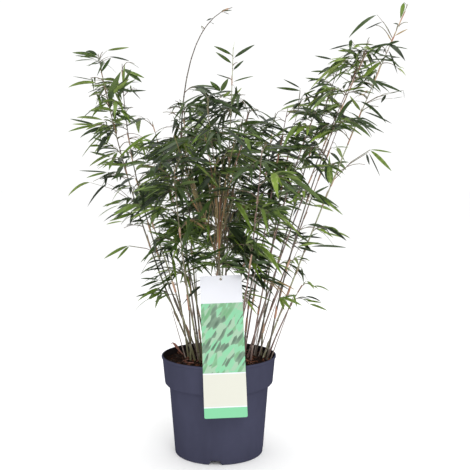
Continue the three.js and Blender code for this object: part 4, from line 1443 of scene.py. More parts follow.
# Rows of the leaves that stand out, by cane.
ACCENTS = {
    "center_top": (
        (792, (-90, -10, 50), 42, 17), (797, (12, 0, 100), 22, 6, LIME, 0),
        (786, (83, -10, 60), 52, 15, SHADE), (775, (-82, -20, 62), 42, 17),
        (762, (70, -20, 72), 30, 20, SHADE), (745, (-95, -10, 38), 32, 9, SHADE),
        (740, (95, -10, 34), 44, 8), (716, (-72, -20, 69), 30, 34, DEEP, 2, (-22, 0, 6)),
        (716, (48, -20, 87), 30, 34, DEEP, 0, (-21, 0, 6)),
        (706, (75, -20, 60), 22, 30, FRESH, 0, (-17, 0, 4)),
        (700, (65, -30, 75), 30, 14, LIME, 0, (2, 0, 8)), (692, (30, -30, 95), 34, 20, DEEP, 0),
    ),
    "right_far": (
        (882, (-25, -10, -97), 34, 24, FRESH, 0, (-6, 0, 7)),
        (696, (-60, -20, -85), 20, 28, SHADE, 0, (41, 0, 17)),
        (696, (97, -10, 25), 30, 5, SHADE, 0, (46, 0, 19)),
        (696, (10, -10, -100), 16, 6, SHADE, 0, (75, 0, 26)),
        (696, (97, -10, 18), 22, 5, SHADE, 0, (54, 0, 10)),
        (820, (-90, -15, -39), 64, 13, DEEP, 35, (-31, 0, 46)),
        (820, (-92, -10, -38), 40, 9, SHADE, 4, (-19, 0, 33)), (824, (80, -10, 50), 30, 12, DRY),
        (820, (30, -20, 80), 18, 14, DRY), (816, (-50, -30, 60), 15, 16, DRY),
        (806, (90, -20, -10), 34, 10), (800, (30, -20, -70), 40, 10, SHADE, 30),
        (788, (60, -30, -50), 36, 12), (780, (-80, -20, -60), 62, 15, LIME),
        (762, (-90, -20, -35), 52, 13, FRESH), (680, (-63, -20, 77), 40, 15, FRESH, 0),
        (682, (93, -20, -30), 60, 8, SHADE, 12), (672, (85, -20, -42), 38, 9),
        (545, (98, -10, -8), 44, 11, FRESH, 6, (73, 0, 62)),
        (545, (70, -20, -60), 56, 18, FRESH, 12, (73, 0, 61)),
        (545, (20, -20, -90), 24, 20, SHADE, 0, (66, 0, 54)),
        (545, (42, -10, -80), 50, 7, SHADE, 10, (70, 0, 57)), (536, (-12, -20, 100), 62, 22, FRESH, 0),
        (536, (-22, -20, 100), 50, 20, SHADE, 2, (-4, 0, 4)),
        (370, (10, -20, -100), 30, 14, DEEP, 4, (8, 0, 2)),
        (412, (98, -15, 12), 74, 9, SHADE, 14, (9, 0, 2)),
    ),
    "whip": (
        (880, (97, -10, 22), 20, 12, SHADE, 10), (880, (93, -10, -25), 14, 14, SHADE),
        (868, (-90, -10, -30), 13, 32, SHADE, 10), (860, (90, -10, -40), 8, 20, SHADE),
        (842, (-30, -10, 95), 11, 12),
    ),
    "right_crest": (
        (750, (-97, -10, 20), 38, 12, SHADE, 2, (-41, 0, 35)),
        (790, (-97, -10, -20), 48, 10, SHADE, 5, (-20, 0, 25)),
        (780, (-98, -15, 10), 32, 20, FRESH, 10, (-14, 0, 21)),
        (740, (-99, -10, 5), 34, 13, DEEP, 5, (-47, 0, 21)),
        (786, (-20, -30, -90), 26, 30, DEEP, 0, (-20, 0, 38)),
        (770, (30, -30, -90), 30, 30, DEEP, 0, (-8, -4, 30)),
        (792, (50, -30, -80), 34, 20, SHADE, 10, (4, -4, 12)),
    ),
    "right_second": (
        (740, (-98, -10, 17), 38, 13, DEEP, 4, (-20, 0, 8)),
        (610, (-88, -30, 38), 46, 20, SHADE, 0, (-14, -6, 2)),
    ),
    "right_mid": (
        (718, (-90, -20, -20), 36, 13, SHADE, 20, (4, 0, 20)), (498, (90, -20, -20), 36, 16),
        (500, (80, -30, 30), 34, 14, FRESH),
    ),
    "right_upright": (
        (698, (-88, -10, 47), 42, 10, SHADE, 4, (4, 0, 43)),
        (698, (-98, -10, 16), 54, 13, DEEP, 5, (4, -10, 36)),
        (698, (-93, -20, -15), 46, 12, DEEP, 20, (10, 0, 21)),
        (698, (70, -20, 40), 34, 14, DEEP, 10, (8, 0, 26)),
        (698, (30, -20, -70), 34, 14, SHADE, 0, (14, 0, 34)),
        (698, (60, -20, -40), 32, 14, DEEP, 0, (14, 0, 34)),
    ),
    "right_third": (
        (526, (80, -20, -58), 68, 11, FRESH, 8, (9, 0, -3)),
        (512, (95, -20, -26), 60, 12, DEEP, 6, (2, 0, 0)), (514, (83, -20, 52), 46, 13, SHADE, 5),
        (524, (88, -20, -45), 56, 10, DEEP, 10, (8, 0, 0)),
        (420, (85, -20, 50), 46, 10, SHADE, 10, (10, 0, 6)),
        (420, (98, -20, 5), 52, 12, DEEP, 10, (10, 0, 4)),
        (416, (95, -20, -20), 42, 14, SHADE, 5, (8, 0, 0)),
        (416, (90, -20, 25), 46, 13, FRESH, 5, (8, 0, 0)),
        (312, (60, -50, -60), 34, 20, FRESH, 10, (2, -4, 4)),
        (312, (20, -50, -80), 30, 22, FRESH, 0, (2, -4, 4)),
        (310, (90, -30, -20), 44, 16, FRESH, 15, (4, -4, 6)),
        (312, (80, -30, 30), 34, 16, DEEP, 10, (6, -4, 2)),
        (312, (25, -20, -95), 27, 16, FRESH, 5, (28, 0, 10)),
    ),
    "front_center": (
        (386, (75, -20, 50), 40, 16, DEEP, 10), (392, (90, -20, 20), 44, 16, SHADE, 15),
        (384, (50, -30, 80), 40, 14, DEEP, 4), (378, (97, -10, 15), 36, 18, DEEP, 0),
        (380, (-90, -10, 20), 36, 16, DEEP, 0), (378, (90, -20, 45), 32, 26, DEEP, 0),
        (378, (70, -20, 6), 28, 30, SHADE, 0, (12, 0, 5)),
    ),
    "front_right": (
        (388, (35, -20, 80), 44, 26, SHADE, 0), (392, (95, -20, 10), 38, 26, SHADE, 4),
        (378, (-80, -20, 20), 34, 20, DEEP, 0), (376, (-30, -20, 90), 34, 20, SHADE, 0),
        (374, (-90, -20, 6), 30, 28, DEEP, 0), (374, (-60, -20, 50), 32, 26, SHADE, 0, (-8, 0, 3)),
    ),
    "left_tall": (
        (792, (-95, -20, 15), 50, 16), (790, (-60, -30, 60), 34, 17, SHADE, 50),
        (784, (98, -10, 15), 46, 12, FRESH, 2, (16, 0, 18)),
        (780, (95, -20, -10), 44, 12, SHADE, 12, (18, 0, 10)),
        (742, (-96, -20, 20), 42, 5, SHADE, 4, (-20, 0, 2)),
        (730, (-93, -20, 20), 58, 14, FRESH, 38, (-16, 0, 8)),
        (776, (-55, -15, -83), 38, 20, DEEP, 0, (22, 0, 12)), (706, (44, -30, 85), 62, 20, DEEP, 0),
        (712, (-20, -40, -90), 32, 30, DEEP, 0, (12, -4, 12)),
        (708, (70, -30, 65), 54, 14, FRESH, 5, (8, 0, 6)), (710, (85, -20, 55), 62, 11, DEEP, 5, (8, 0, 6)),
        (712, (85, -20, 30), 58, 9, SHADE, 35, (8, 0, 8)),
        (706, (-10, -30, -90), 30, 30, DEEP, 0, (8, -4, 6)),
        (672, (-85, -20, 50), 60, 14, FRESH, 45, (9, -4, 8)), (682, (-97, -20, 10), 42, 11),
        (684, (97, -20, 10), 34, 12, SHADE, 5, (12, 0, 4)),
        (676, (92, -20, -20), 36, 12, DEEP, 8, (14, 0, 0)),
        (652, (-95, -20, 25), 52, 10, SHADE, 4, (-38, 0, 5)),
        (652, (-97, -20, 8), 46, 11, FRESH, 5, (-38, 0, 4)),
        (652, (-95, -20, -10), 54, 12, FRESH, 14, (-38, 0, 3)),
        (648, (-75, -20, -50), 46, 10, DEEP, 12, (-16, 0, 2)),
        (646, (-30, -30, -90), 34, 16, FRESH, 0, (-6, -4, 0)),
        (590, (-93, -20, 30), 46, 13, DEEP, 5, (-22, 0, 2)),
        (590, (-80, -20, -40), 34, 15, FRESH, 5, (-22, 0, 1)),
        (575, (-97, -20, 15), 60, 13, FRESH, 10, (12, -8, 0)),
        (545, (-98, -10, 5), 58, 7, SHADE, 0, (-42, 0, 18)),
        (545, (-93, -20, -10), 44, 13, FRESH, 15, (-42, 0, 17)),
        (500, (-62, -66, -40), 58, 8, SHADE, 40, (-56, 0, 40)),
        (500, (-90, -30, 0), 46, 17, FRESH, 60, (-90, 0, 42)),
        (484, (-95, -25, -25), 62, 13, FRESH, 5, (2, -10, 0)),
    ),
    "left_low": (
        (400, (-86, -20, -30), 52, 14, FRESH, 16, (-68, 0, 22)),
        (400, (-60, -30, -55), 34, 16, FRESH, 10, (-67, 0, 21)),
    ),
    "left_second": (
        (766, (75, -30, -50), 50, 24, DEEP, 8, (2, 0, 10)),
        (752, (-40, -30, -90), 44, 20, DEEP, 5, (8, 0, 2)),
        (752, (-75, -30, -65), 50, 18, SHADE, 5, (10, 0, 2)),
        (730, (75, -20, -60), 32, 9, SHADE, 15, (12, 0, 6)),
        (762, (85, -30, -25), 48, 16, FRESH, 10, (4, 0, 10)), (728, (93, -30, 10), 50, 10, SHADE),
        (744, (10, -30, 90), 40, 15, FRESH, 0), (740, (40, -30, 80), 40, 15, DEEP, 4),
    ),
    "left_outer": (
        (312, (-95, -20, 10), 36, 14, DEEP, 10, (-22, -4, 6)),
        (312, (-80, -20, 50), 34, 12, SHADE, 10, (-22, -4, 6)),
        (312, (-85, -20, -35), 32, 14, FRESH, 10, (-22, -4, 5)),
        (338, (-95, -20, 20), 40, 13, SHADE, 10, (-36, 0, 8)),
        (338, (-90, -20, -20), 40, 14, DEEP, 10, (-36, 0, 7)),
    ),
}

# Twigs where the crown is full between its branches: cane, height, heading in hundredths and length.
FULL_SPOTS = (
    ("right_third", 770, (-70, 0, 70), 30), ("right_crest", 800, (-95, -10, 35), 34),
    ("right_crest", 765, (-70, -30, 50), 34), ("right_mid", 706, (-90, -10, 50), 36),
    ("right_second", 640, (50, -40, 50), 34), ("right_far", 640, (-70, -20, 60), 34),
    ("left_second", 735, (-50, -30, 60), 34), ("left_second", 700, (-60, -30, 50), 40),
    ("left_second", 650, (-70, -30, 50), 36), ("left_second", 600, (-50, -40, 50), 36),
    ("left_tall", 690, (40, -40, 60), 34), ("left_tall", 610, (40, -40, 60), 40),
    ("left_tall", 575, (-30, -40, 60), 40), ("left_tall", 545, (30, -50, 50), 40),
    ("whip", 690, (-40, -30, 80), 34), ("whip", 720, (60, -30, 70), 34),
    ("center_top", 690, (-50, -40, 70), 30), ("right_crest", 800, (30, -50, 10), 26),
    ("right_crest", 780, (30, -50, 20), 26), ("right_crest", 790, (-20, -50, 80), 26),
    ("right_crest", 770, (-50, -40, 70), 30), ("right_crest", 715, (60, -40, 50), 36),
    ("right_far", 705, (-50, -40, 60), 30), ("right_upright", 690, (30, -30, 80), 24),
    ("right_second", 425, (40, -40, 50), 30), ("left_tall", 680, (20, -50, 30), 24),
    ("center_top", 670, (-20, -60, 50), 30), ("whip", 660, (-60, -40, 50), 30),
    ("center_top", 400, (50, -60, 20), 30), ("front_right", 372, (-60, -20, 50), 26),
    ("front_center", 384, (50, -30, 30), 28), ("front_center", 452, (40, -30, 50), 28),
    ("left_second", 560, (10, -50, 50), 26), ("left_tall", 640, (-20, -50, 40), 22),
    ("left_tall", 505, (-50, -40, 40), 26), ("right_upright", 650, (-30, -50, 50), 26),
    ("right_mid", 650, (-60, -40, 40), 28), ("left_tall", 475, (-90, -30, 30), 26),
    ("left_outer", 430, (-70, -30, 50), 28), ("right_far", 770, (-30, -50, 50), 26),
    ("right_crest", 745, (-10, -50, 50), 26), ("left_tall", 674, (30, -50, 50), 26),
    ("left_tall", 632, (-20, -50, 50), 26), ("left_second", 632, (70, -40, 40), 28),
    ("left_second", 584, (50, -50, 40), 26), ("whip", 680, (-80, -30, 30), 30),
    ("center_left", 684, (-80, -40, 40), 34), ("center_right", 680, (30, -50, 50), 26),
    ("center_right", 686, (70, -40, 50), 26), ("right_upright", 652, (60, -50, 30), 28),
    ("right_upright", 640, (-30, -50, 40), 28), ("right_mid", 662, (-50, -40, 40), 28),
    ("right_second", 488, (20, -50, 50), 26), ("front_right", 446, (-30, -40, 50), 24),
    ("left_tall", 320, (-50, -40, 40), 24), ("right_mid", 560, (10, -50, 50), 26),
)


def heading_of(parts: Sequence[int]) -> Vector:
    """The direction of a heading that is written in hundredths."""
    return Vector([part / 100 for part in parts]).normalized()


@dataclass
class OpenSky:
    """The gaps of the crown where the sky shows from the front.

    Each gap is an outline of x and z in the upright plane through the pot's axis, in millimetres. A
    point is carried to that plane along its line of sight from the front.
    """

    gaps: tuple[Outline, ...] = (
        (
            (-152, 830), (-152, 743), (-168, 722), (-168, 682), (-152, 669), (-148, 626), (-104, 626),
            (-92, 658), (-104, 685), (-76, 708), (-64, 730), (-28, 734), (-24, 775), (-64, 775), (-67, 830),
        ),
        (
            (78, 830), (72, 771), (60, 751), (52, 736), (54, 704), (86, 681), (112, 662), (138, 662),
            (146, 688), (129, 696), (105, 708), (101, 736), (140, 771), (199, 830),
        ),
        ((251, 706), (290, 710), (283, 669), (252, 669)),
        ((312, 712), (352, 712), (350, 669), (304, 669)),
        ((-206, 448), (-137, 440), (-138, 384), (-206, 384)),
        ((-304, 708), (-249, 708), (-250, 671), (-305, 671)),
        ((222, 644), (262, 648), (262, 618), (218, 612)),
        ((230, 871), (240, 829), (262, 817), (289, 813), (324, 817), (332, 859), (316, 890), (257, 890)),
        ((264, 610), (253, 543), (356, 531), (363, 626), (284, 630)),
        ((176, 790), (176, 763), (207, 755), (212, 774), (204, 790)),
        ((-203, 652), (-203, 614), (-167, 603), (-167, 646)),
        ((-184, 579), (-180, 543), (-140, 535), (-144, 571)),
        ((-190, 710), (-171, 665), (-139, 661), (-151, 708)),
        ((156, 497), (154, 448), (186, 444), (203, 484), (190, 497)),
        ((177, 566), (205, 554), (221, 531), (219, 508), (201, 513), (179, 535)),
        ((205, 492), (246, 477), (250, 457), (201, 457), (193, 477)),
        ((-276, 838), (-276, 802), (-228, 802), (-228, 770), (-168, 770), (-168, 838)),
        ((-306, 766), (-306, 702), (-258, 702), (-258, 728), (-250, 766)),
        ((-237, 456), (-237, 424), (-201, 420), (-201, 452)),
        ((178, 380), (178, 355), (215, 351), (219, 380)),
        ((276, 626), (276, 606), (300, 606), (300, 626)),
        ((350, 858), (350, 836), (380, 836), (380, 858)),
        ((-290, 560), (-237, 560), (-237, 511), (-290, 511)),
        ((229, 714), (229, 691), (259, 689), (263, 712)),
        ((114, 642), (114, 618), (139, 618), (139, 642)),
        ((44, 710), (44, 693), (70, 691), (66, 710)),
        ((-213, 618), (-213, 598), (-171, 598), (-171, 618)),
        ((203, 622), (203, 595), (233, 595), (236, 622)),
        ((301, 767), (305, 743), (349, 736), (345, 778), (325, 778)),
        ((-266, 612), (-267, 575), (-246, 575), (-246, 612)),
    )
    bundle: Outline = ((-20, 520), (32, 520), (27, 384), (-8, 384))
    bundle_front: float = -24.0
    stem: Outline = ((16, 704), (30, 704), (25, 575), (11, 575))
    stem_front: float = 8.0

    def shows(self, point: Vector) -> bool:
        """Whether the sky, the bundle of shoots or the bare stem shows where a point lies.

        Args:
            point: The point, in millimetres.

        Returns:
            True inside a gap, or in front of the bundle or the stem.
        """
        eye = Vector(VIEWPOINT)
        carried = eye + (point - eye) * (eye.y / (eye.y - point.y))
        hiding = [*self.gaps]
        if point.y < self.bundle_front:
            hiding.append(self.bundle)
        if point.y < self.stem_front:
            hiding.append(self.stem)
        return any(self.holds(gap, carried.x, carried.z) for gap in hiding)

    @staticmethod
    def holds(gap: Outline, x: float, z: float) -> bool:
        """Whether a gap's outline runs round a place.

        Args:
            gap: The outline.
            x: The place's x.
            z: The place's z.

        Returns:
            True if it does.
        """
        inside = False
        for (x0, z0), (x1, z1) in zip(gap, (*gap[1:], gap[0])):
            if (z0 > z) != (z1 > z) and x < x0 + (z - z0) * (x1 - x0) / (z1 - z0):
                inside = not inside
        return inside


@dataclass
class Foliage:
    """Twigs and leaves: every branch is carried on to sprays of life-size leaves.

    A span is the range of a draw. The counts of leaves are the least in a spray and how many more it
    may have, in the dense middle and at the sides. Infill is the short branches between the long ones.
    """

    rule: GrowthRule
    sky: OpenSky = field(default_factory=OpenSky)
    leaf_length: float = 60.0
    leaf_play: float = 0.45
    leaf_width: float = 0.108
    side_width: float = 0.155
    side_length: float = 0.97
    leaf_thick: float = 0.35
    leaf_fold: float = 0.16
    leaf_shape: Outline = (
        (0.04, 0.16), (0.12, 0.66), (0.26, 1.0), (0.44, 0.97), (0.63, 0.78), (0.8, 0.48), (0.92, 0.2),
    )
    bends: Span = (0.08, 0.48)
    sways: Span = (-0.1, 0.1)
    rolls: Span = (0.5, 1.3)
    roll_from: float = 0.3
    width_play: Span = (0.85, 1.15)
    stalk: float = 2.5
    dense_leaves: tuple[int, float] = (3, 2.5)
    side_leaves: tuple[int, float] = (2, 2.7)
    leaf_from: float = 0.1
    leaf_span: float = 0.8
    leaf_yaws: Span = (0.2, 0.65)
    yaw_play: Span = (-0.15, 0.15)
    leaf_lifts: Span = (-0.4, 0.38)
    leaf_follow: float = 0.4
    root_short: float = 0.3
    spray_gap: float = 8.8
    wide_gap: float = 12.8
    gap_play: Span = (0.8, 1.3)
    spray_from: float = 9.0
    spray_end: float = 8.0
    twig_share: float = 0.48
    twig_play: Span = (0.6, 1.1)
    twig_yaws: Span = (0.4, 1.0)
    twig_lifts: Span = (0.05, 0.6)
    twig_arch: float = 0.4
    twig_radii: tuple[float, ...] = (0.55, 0.5, 0.45, 0.35)
    branch_taper: float = 0.45
    end_share: float = 0.25
    end_least: float = 0.7
    end_arch: float = 0.25
    least_twig: float = 22.0
    bare_below: float = 20.0
    accent_roll: float = 1.4
    accent_sway: float = 0.05
    accent_rise: float = 0.08
    accent_radii: tuple[float, ...] = (0.6, 0.5, 0.35)
    # How much paler sprays are dealt towards the outside, and less so in the dense middle: painted light
    # and shade.
    pale_within: float = 0.35
    pale_outward: float = 1.4
    middle_green: float = 0.45
    middle_x: float = -8.0
    middle_reach: float = 105.0
    middle_top: float = 740.0
    crown_x: float = 30.0
    crown_reach: float = 260.0
    tops_from: float = 190.0
    tops_foot: float = 725.0
    tops_height: float = 800.0
    infill: float = 0.75
    infill_least: int = 5
    low_infill: int = 12
    low_top: float = 440.0
    thin_infill: float = 0.55
    thin_from: float = 0.45
    inward: float = 0.75
    inward_x: float = 20.0
    infill_length: float = 0.55
    infill_play: Span = (0.6, 1.3)
    infill_turns: Span = (0.0, 1.2)
    infill_lifts: Span = (0.5, 1.4)
    infill_leaf: float = 0.92
    infill_low: float = 1.15
    infill_taper: float = 0.4
    infill_from: float = 0.06

    def __post_init__(self) -> None:
        """Start one pile for each tone and one for the twigs, and lay out the faces of a leaf."""
        self.leaves = {tone: MeshPile() for tone in LeafTone}
        self.twigs = MeshPile()
        self.canes = {cane.name: cane for cane in CANES}
        self.leaf_count = 0
        rows = len(self.leaf_shape)
        ring = [(1 + k, 1 + (k + 1) % 4) for k in range(4)]
        faces = [(0, b, a) for a, b in ring]
        for row in range(0, 4 * rows - 4, 4):
            faces += [(row + a, row + b, row + b + 4, row + a + 4) for a, b in ring]
        self.leaf_faces = faces + [(4 * rows - 4 + a, 4 * rows - 4 + b, 4 * rows + 1) for a, b in ring]
        self.leaf_slots = [0, 0, 1, 1] * (rows + 1)

    def add_leaf(self, root: Vector, heading: Vector, length: float, tone: LeafTone, draw: Draws) -> bool:
        """Add one leaf if its tip stays in the crown's reach and the sky doesn't show there.

        Args:
            root: Where it grows from.
            heading: Which way it points.
            length: Its length.
            tone: Its colours.
            draw: The stream of draws.

        Returns:
            True if it was added.
        """
        bend, sway = draw.between(*self.bends), draw.between(*self.sways)
        roll = draw.between(*self.rolls) * (1 if draw() < 0.5 else -1)
        width = (self.leaf_width if self.is_dense(root) else self.side_width) * length
        width *= draw.between(*self.width_play)
        middle = root + heading * (length * 0.5) - UP * (bend * length * 0.25)
        ends = (self.tip_of(root, heading, length, bend, sway), middle)
        if not all(self.rule.in_open_air(end) for end in ends) or any(self.sky.shows(end) for end in ends):
            return False
        self.add_blade(root, heading, length, (width, bend, sway, roll), tone)
        return True

    @staticmethod
    def tip_of(root: Vector, heading: Vector, length: float, bend: float, sway: float) -> Vector:
        """Where a leaf ends that bends down and sways aside by shares of its length."""
        left = UP.cross(heading).normalized()
        return root + heading * length * 0.98 - UP * (bend * length) + left * (sway * length)

    def add_blade(
        self, root: Vector, heading: Vector, length: float, play: Sequence[float], tone: LeafTone
    ) -> None:
        """Add one leaf's blade.

        Args:
            root: Where it grows from.
            heading: Which way it points.
            length: Its length.
            play: Its width, how far it bends down and sways aside, and how far it rolls.
            tone: Its colours.
        """
        width, bend, sway, roll = play
        left = UP.cross(heading).normalized()
        corners = [root]
        for along, size in self.leaf_shape:
            middle = root + heading * (length * along)
            middle += (left * sway - UP * bend) * (length * along**2)
            forward = (heading + 2 * along * (left * sway - UP * bend)).normalized()
            aside = UP.cross(forward).normalized()
            rolled = roll * (self.roll_from + (1 - self.roll_from) * along)
            aside.rotate(Quaternion(forward, rolled))
            normal = forward.cross(aside)
            half = width * size / 2
            raised, thick = normal * (self.leaf_fold * half), normal * (self.leaf_thick / 2)
            left_edge, right_edge = middle + aside * half + raised, middle - aside * half + raised
            corners += [left_edge, middle + thick, right_edge, middle - thick]
        corners.append(self.tip_of(root, heading, length, bend, sway))
        self.leaves[tone].add(np.array(corners), self.leaf_faces, self.leaf_slots)
        self.leaf_count += 1

    def add_accents(self) -> None:
        """Add the leaves that stand out, each on a short stalk or on a twig of its own."""
        for name, leaf in ((name, Accent(*row)) for name, rows in ACCENTS.items() for row in rows):
            cane = self.canes[name]
            root = cane.point(cane.place_at(leaf.height))
            heading, twig = heading_of(leaf.heading), Vector(leaf.twig)
            start = root + (twig if twig.length else heading * self.stalk)
            middle = (root + start) / 2 + UP * (self.accent_rise * twig.length)
            self.twigs.tube([root, middle, start], self.accent_radii, 4)
            roll = -self.accent_roll if heading.x * heading.z > 0 else self.accent_roll
            play = (leaf.breadth / 100 * leaf.length, leaf.bend / 100, self.accent_sway, roll)
            self.add_blade(start, heading, leaf.length, play, leaf.tone)

    def add_full_spots(self) -> None:
        """Add the twigs that fill the crown between its branches."""
        for k, (name, height, heading, length) in enumerate(FULL_SPOTS):
            cane = self.canes[name]
            root = cane.point(cane.place_at(height))
            self.dress(Branch(root, heading_of(heading), length, cane.leaf_size), Draws(SPOT_DRAWS + k))

    def add_spray(self, twig: Branch, tone: LeafTone, draw: Draws) -> None:
        """Add a twig with its leaves, by turns left and right and one at its end.

        Args:
            twig: The twig.
            tone: Its leaves' colours.
            draw: The stream of draws.
        """
        dense = self.is_dense(twig.root)
        least, more = self.dense_leaves if dense else self.side_leaves
        count = least + int(draw() * more)
        grown = 0
        for i in range(count):
            ahead = i == count - 1
            along = 1.0 if ahead else self.leaf_from + self.leaf_span * i / (count - 1)
            hand = 0 if ahead else (1 if i % 2 else -1)
            travel = twig.travel(along)
            level = Vector((travel.x, travel.y, 0))
            level = level.normalized() if level.length > 0.05 else Vector((1, 0, 0))
            yaw = hand * draw.between(*self.leaf_yaws) + draw.between(*self.yaw_play)
            heading = Matrix.Rotation(yaw, 3, "Z") @ level
            heading.z = self.leaf_follow * travel.z + draw.between(*self.leaf_lifts)
            size = self.leaf_length * twig.leaf_size * (1 + self.leaf_play * (draw() - 0.5))
            size *= (1 - self.root_short + self.root_short * along) * (1 if dense else self.side_length)
            grown += self.add_leaf(twig.at(along), heading.normalized(), size, tone, draw)
        if grown:
            self.twigs.tube(twig.points(3), self.twig_radii, 4)

    def is_dense(self, point: Vector) -> bool:
        """Whether a point is in the clump's dense middle or in the full tops of its sides.

        Args:
            point: The point.

        Returns:
            True where it is.
        """
        if abs(point.x - self.middle_x) < self.middle_reach and point.z < self.middle_top:
            return True
        return abs(point.x - self.crown_x) > self.tops_from and self.tops_foot < point.z < self.tops_height

    def tone_for(self, point: Vector, draw: Draws) -> LeafTone:
        """Pick a spray's tone: paler outside, darker within, as painted light and shade across the crown.

        Args:
            point: Where the spray is.
            draw: The stream of draws.

        Returns:
            The tone.
        """
        # Painted shade: sprays deep in the crown, most of all in its dense middle, are dealt darker tones,
        # and those outside are dealt paler ones as painted light.
        outside = min(1.0, Vector((point.x - self.crown_x, point.y)).length / self.crown_reach)
        if self.is_dense(point):
            outside *= self.middle_green
        pale = self.pale_within + self.pale_outward * outside
        weights = [tone.value[2] * (pale if tone in (FRESH, LIME) else 1) for tone in LeafTone]
        left = draw() * sum(weights)
        for tone, weight in zip(LeafTone, weights):
            left -= weight
            if left <= 0:
                return tone
        return DEEP

    def dress(self, branch: Branch, draw: Draws) -> None:
        """Carry a branch on to its sprays.

        Args:
            branch: The branch.
            draw: The stream of draws.
        """
        self.twigs.tube(branch.points(5), [1.0 - self.branch_taper * i / 5 for i in range(6)], 5)
        if branch.length < self.bare_below:
            return
        place, hand, size = self.spray_from, 1, branch.leaf_size
        while place < branch.length - self.spray_end:
            along = place / branch.length
            root = branch.at(along)
            yaw = hand * draw.between(*self.twig_yaws)
            heading = Matrix.Rotation(yaw, 3, "Z") @ branch.travel(along)
            heading.z += draw.between(*self.twig_lifts)
            length = branch.length * self.twig_share * draw.between(*self.twig_play)
            length = max(length, self.least_twig)
            twig = Branch(root, heading.normalized(), length, size, self.twig_arch)
            self.add_spray(twig, self.tone_for(root, draw), draw)
            gap = self.spray_gap if self.is_dense(branch.root) else self.wide_gap
            place += gap * draw.between(*self.gap_play)
            hand = -hand
        root = branch.at(1)
        length = max(branch.length * self.end_share, self.least_twig * self.end_least)
        twig = Branch(root, branch.travel(1), length, size, self.end_arch)
        self.add_spray(twig, self.tone_for(root, draw), draw)

    def infill_of(self, cane: Cane) -> list[Branch]:
        """Grow the short branches that fill the space near a cane, between its long ones.

        Args:
            cane: The cane.

        Returns:
            The short branches.
        """
        draw = Draws(cane.seed + INFILL_DRAWS)
        start, end = cane.leafy[0] - self.infill_from, cane.leafy[1]
        thin = not self.is_dense(cane.point(0.5))
        count = max(round(cane.branches * self.infill), self.infill_least)
        if thin:
            count = round(cane.branches * self.thin_infill)
        elif cane.tip[2] < self.low_top:
            count = self.low_infill
        found = []
        for k in range(count):
            share = (k + draw()) / count
            if thin:
                share = self.thin_from + (1 - self.thin_from) * share
            root = cane.point(start + (end - start) * share)
            turn = k * self.rule.golden_turn + draw.between(*self.infill_turns)
            length = cane.reach * self.infill_length * draw.between(*self.infill_play)
            length *= self.infill_low - self.infill_taper * share
            heading = around(turn, 1.0, draw.between(*self.infill_lifts))
            if thin:
                heading.x -= math.copysign(self.inward, root.x - self.inward_x)
            branch = Branch(root, heading.normalized(), length, cane.leaf_size * self.infill_leaf)
            if all(self.rule.in_open_air(point) for point in branch.points(2)):
                found.append(branch)
        return found

    def build(self) -> list[Piece]:
        """Grow and join all the twigs and leaves.

        Returns:
            The leaves of each tone and the twigs.
        """
        grown = [(cane, self.rule.branches_of(cane)) for cane in CANES]
        for cane, branches in grown:
            branches += self.infill_of(cane)
            draw = Draws(cane.seed + SPRAY_DRAWS)
            for branch in branches:
                self.dress(branch, draw)
        self.add_accents()
        self.add_full_spots()
        nodes = ["foliage_" + cane.name for cane in CANES]
        pieces = []
        for tone, pile in self.leaves.items():
            materials = [leaf_green(tone, under).material() for under in (False, True)]
            piece = pile.piece("leaves_" + tone.name.lower(), materials, 50)
            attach(piece, "root")
            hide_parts(*nodes)
            pieces.append(piece)
        twigs = self.twigs.piece("twigs", [TWIG_BARK.material()], 70)
        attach(twigs, "root")
        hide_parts(*nodes)
        LOG.info("%d branches and %d leaves", sum(len(found) for _, found in grown), self.leaf_count)
        return [*pieces, twigs]


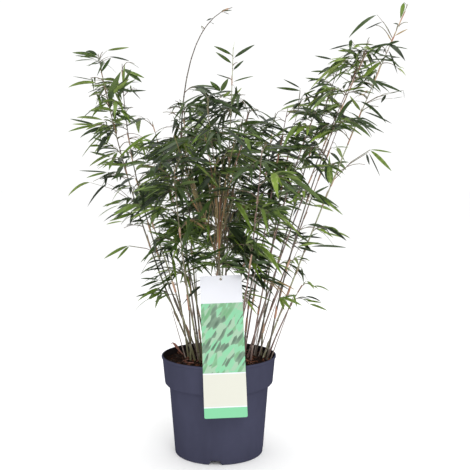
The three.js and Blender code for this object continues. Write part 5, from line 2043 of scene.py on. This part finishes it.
@dataclass
class Studio:
    """The pale floor, the soft light and the camera of the photograph.

    A light has a name, a place and an aim in metres, a side in metres and a power in watts.
    """

    pitch_down: float = 4.24
    focal_pixels: float = 779.0
    frame_pixels: float = 470.0
    sensor: float = 36.0
    floor_size: float = 60.0
    floor_white: float = 0.96
    sky_strength: float = 1.05
    lights: tuple[tuple[str, Color, Color, float, float], ...] = (
        ("key_light", (0.8, -2.5, 2.2), (0, 0, 0.45), 1.5, 27),
        ("fill_light", (0.15, -2.6, 1.0), (0, 0, 0.3), 1.6, 13),
        ("top_light", (0.1, 0.3, 2.8), (0, 0, 0.4), 2.2, 22),
    )

    def build(self) -> None:
        """Lay the floor, hang the lights, and set up the surroundings and the camera."""
        bpy.ops.mesh.primitive_plane_add(size=self.floor_size, location=(0, 0, 0))
        floor = bpy.context.object
        shader = Shader("studio_floor", 0.9)
        shader.surface["Base Color"].default_value = (*scaled(WHITE, self.floor_white), 1)
        settle(floor, "studio_floor", [shader.material])
        scene = bpy.context.scene
        for name, place, aim, side, power in self.lights:
            lamp = bpy.data.lights.new(name, "AREA")
            lamp.size = side
            lamp.energy = power
            hung = bpy.data.objects.new(name, lamp)
            hung.location = place
            hung.rotation_euler = (Vector(aim) - Vector(place)).to_track_quat("-Z", "Y").to_euler()
            scene.collection.objects.link(hung)
        scene.world = bpy.data.worlds.new("surroundings")
        scene.world.use_nodes = True
        sky = scene.world.node_tree.nodes["Background"].inputs
        sky["Color"].default_value = (*WHITE, 1)
        sky["Strength"].default_value = self.sky_strength
        lens = bpy.data.cameras.new("photo_camera")
        lens.sensor_width = self.sensor
        lens.lens = self.focal_pixels / self.frame_pixels * self.sensor
        camera = bpy.data.objects.new("photo_camera", lens)
        camera.location = Vector(VIEWPOINT) * MM
        camera.rotation_euler = (math.radians(90 - self.pitch_down), 0, 0)
        scene.collection.objects.link(camera)
        scene.camera = camera
        scene.view_settings.view_transform = "Standard"


def dress_tie(tie: Piece) -> None:
    """Give the label's string its finish."""
    tie.data.materials.clear()
    tie.data.materials.append(TIE_STRING.material())


def main() -> None:
    """Build the plant, its pot and the studio."""
    logging.basicConfig(level=logging.INFO, format="%(message)s")
    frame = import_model()
    bpy.ops.object.select_all(action="DESELECT")
    label = Label()
    steps: list[tuple[str, Callable[[], object]]] = [
        ("studio", Studio().build),
        ("pot", Pot().build),
        ("soil", Soil().build),
        ("label", label.build),
        ("tie", lambda: dress_tie(frame["nodes"]["label_tie"])),
        ("canes", Canes().build),
        ("foliage", Foliage(GrowthRule(label)).build),
    ]
    for name, build in steps:
        made = build()
        for piece in made if isinstance(made, list) else [made]:
            if isinstance(piece, Piece):
                LOG.info("%s: %s, %d faces", name, piece.name, len(piece.data.polygons))


if __name__ == "__main__":
    main()
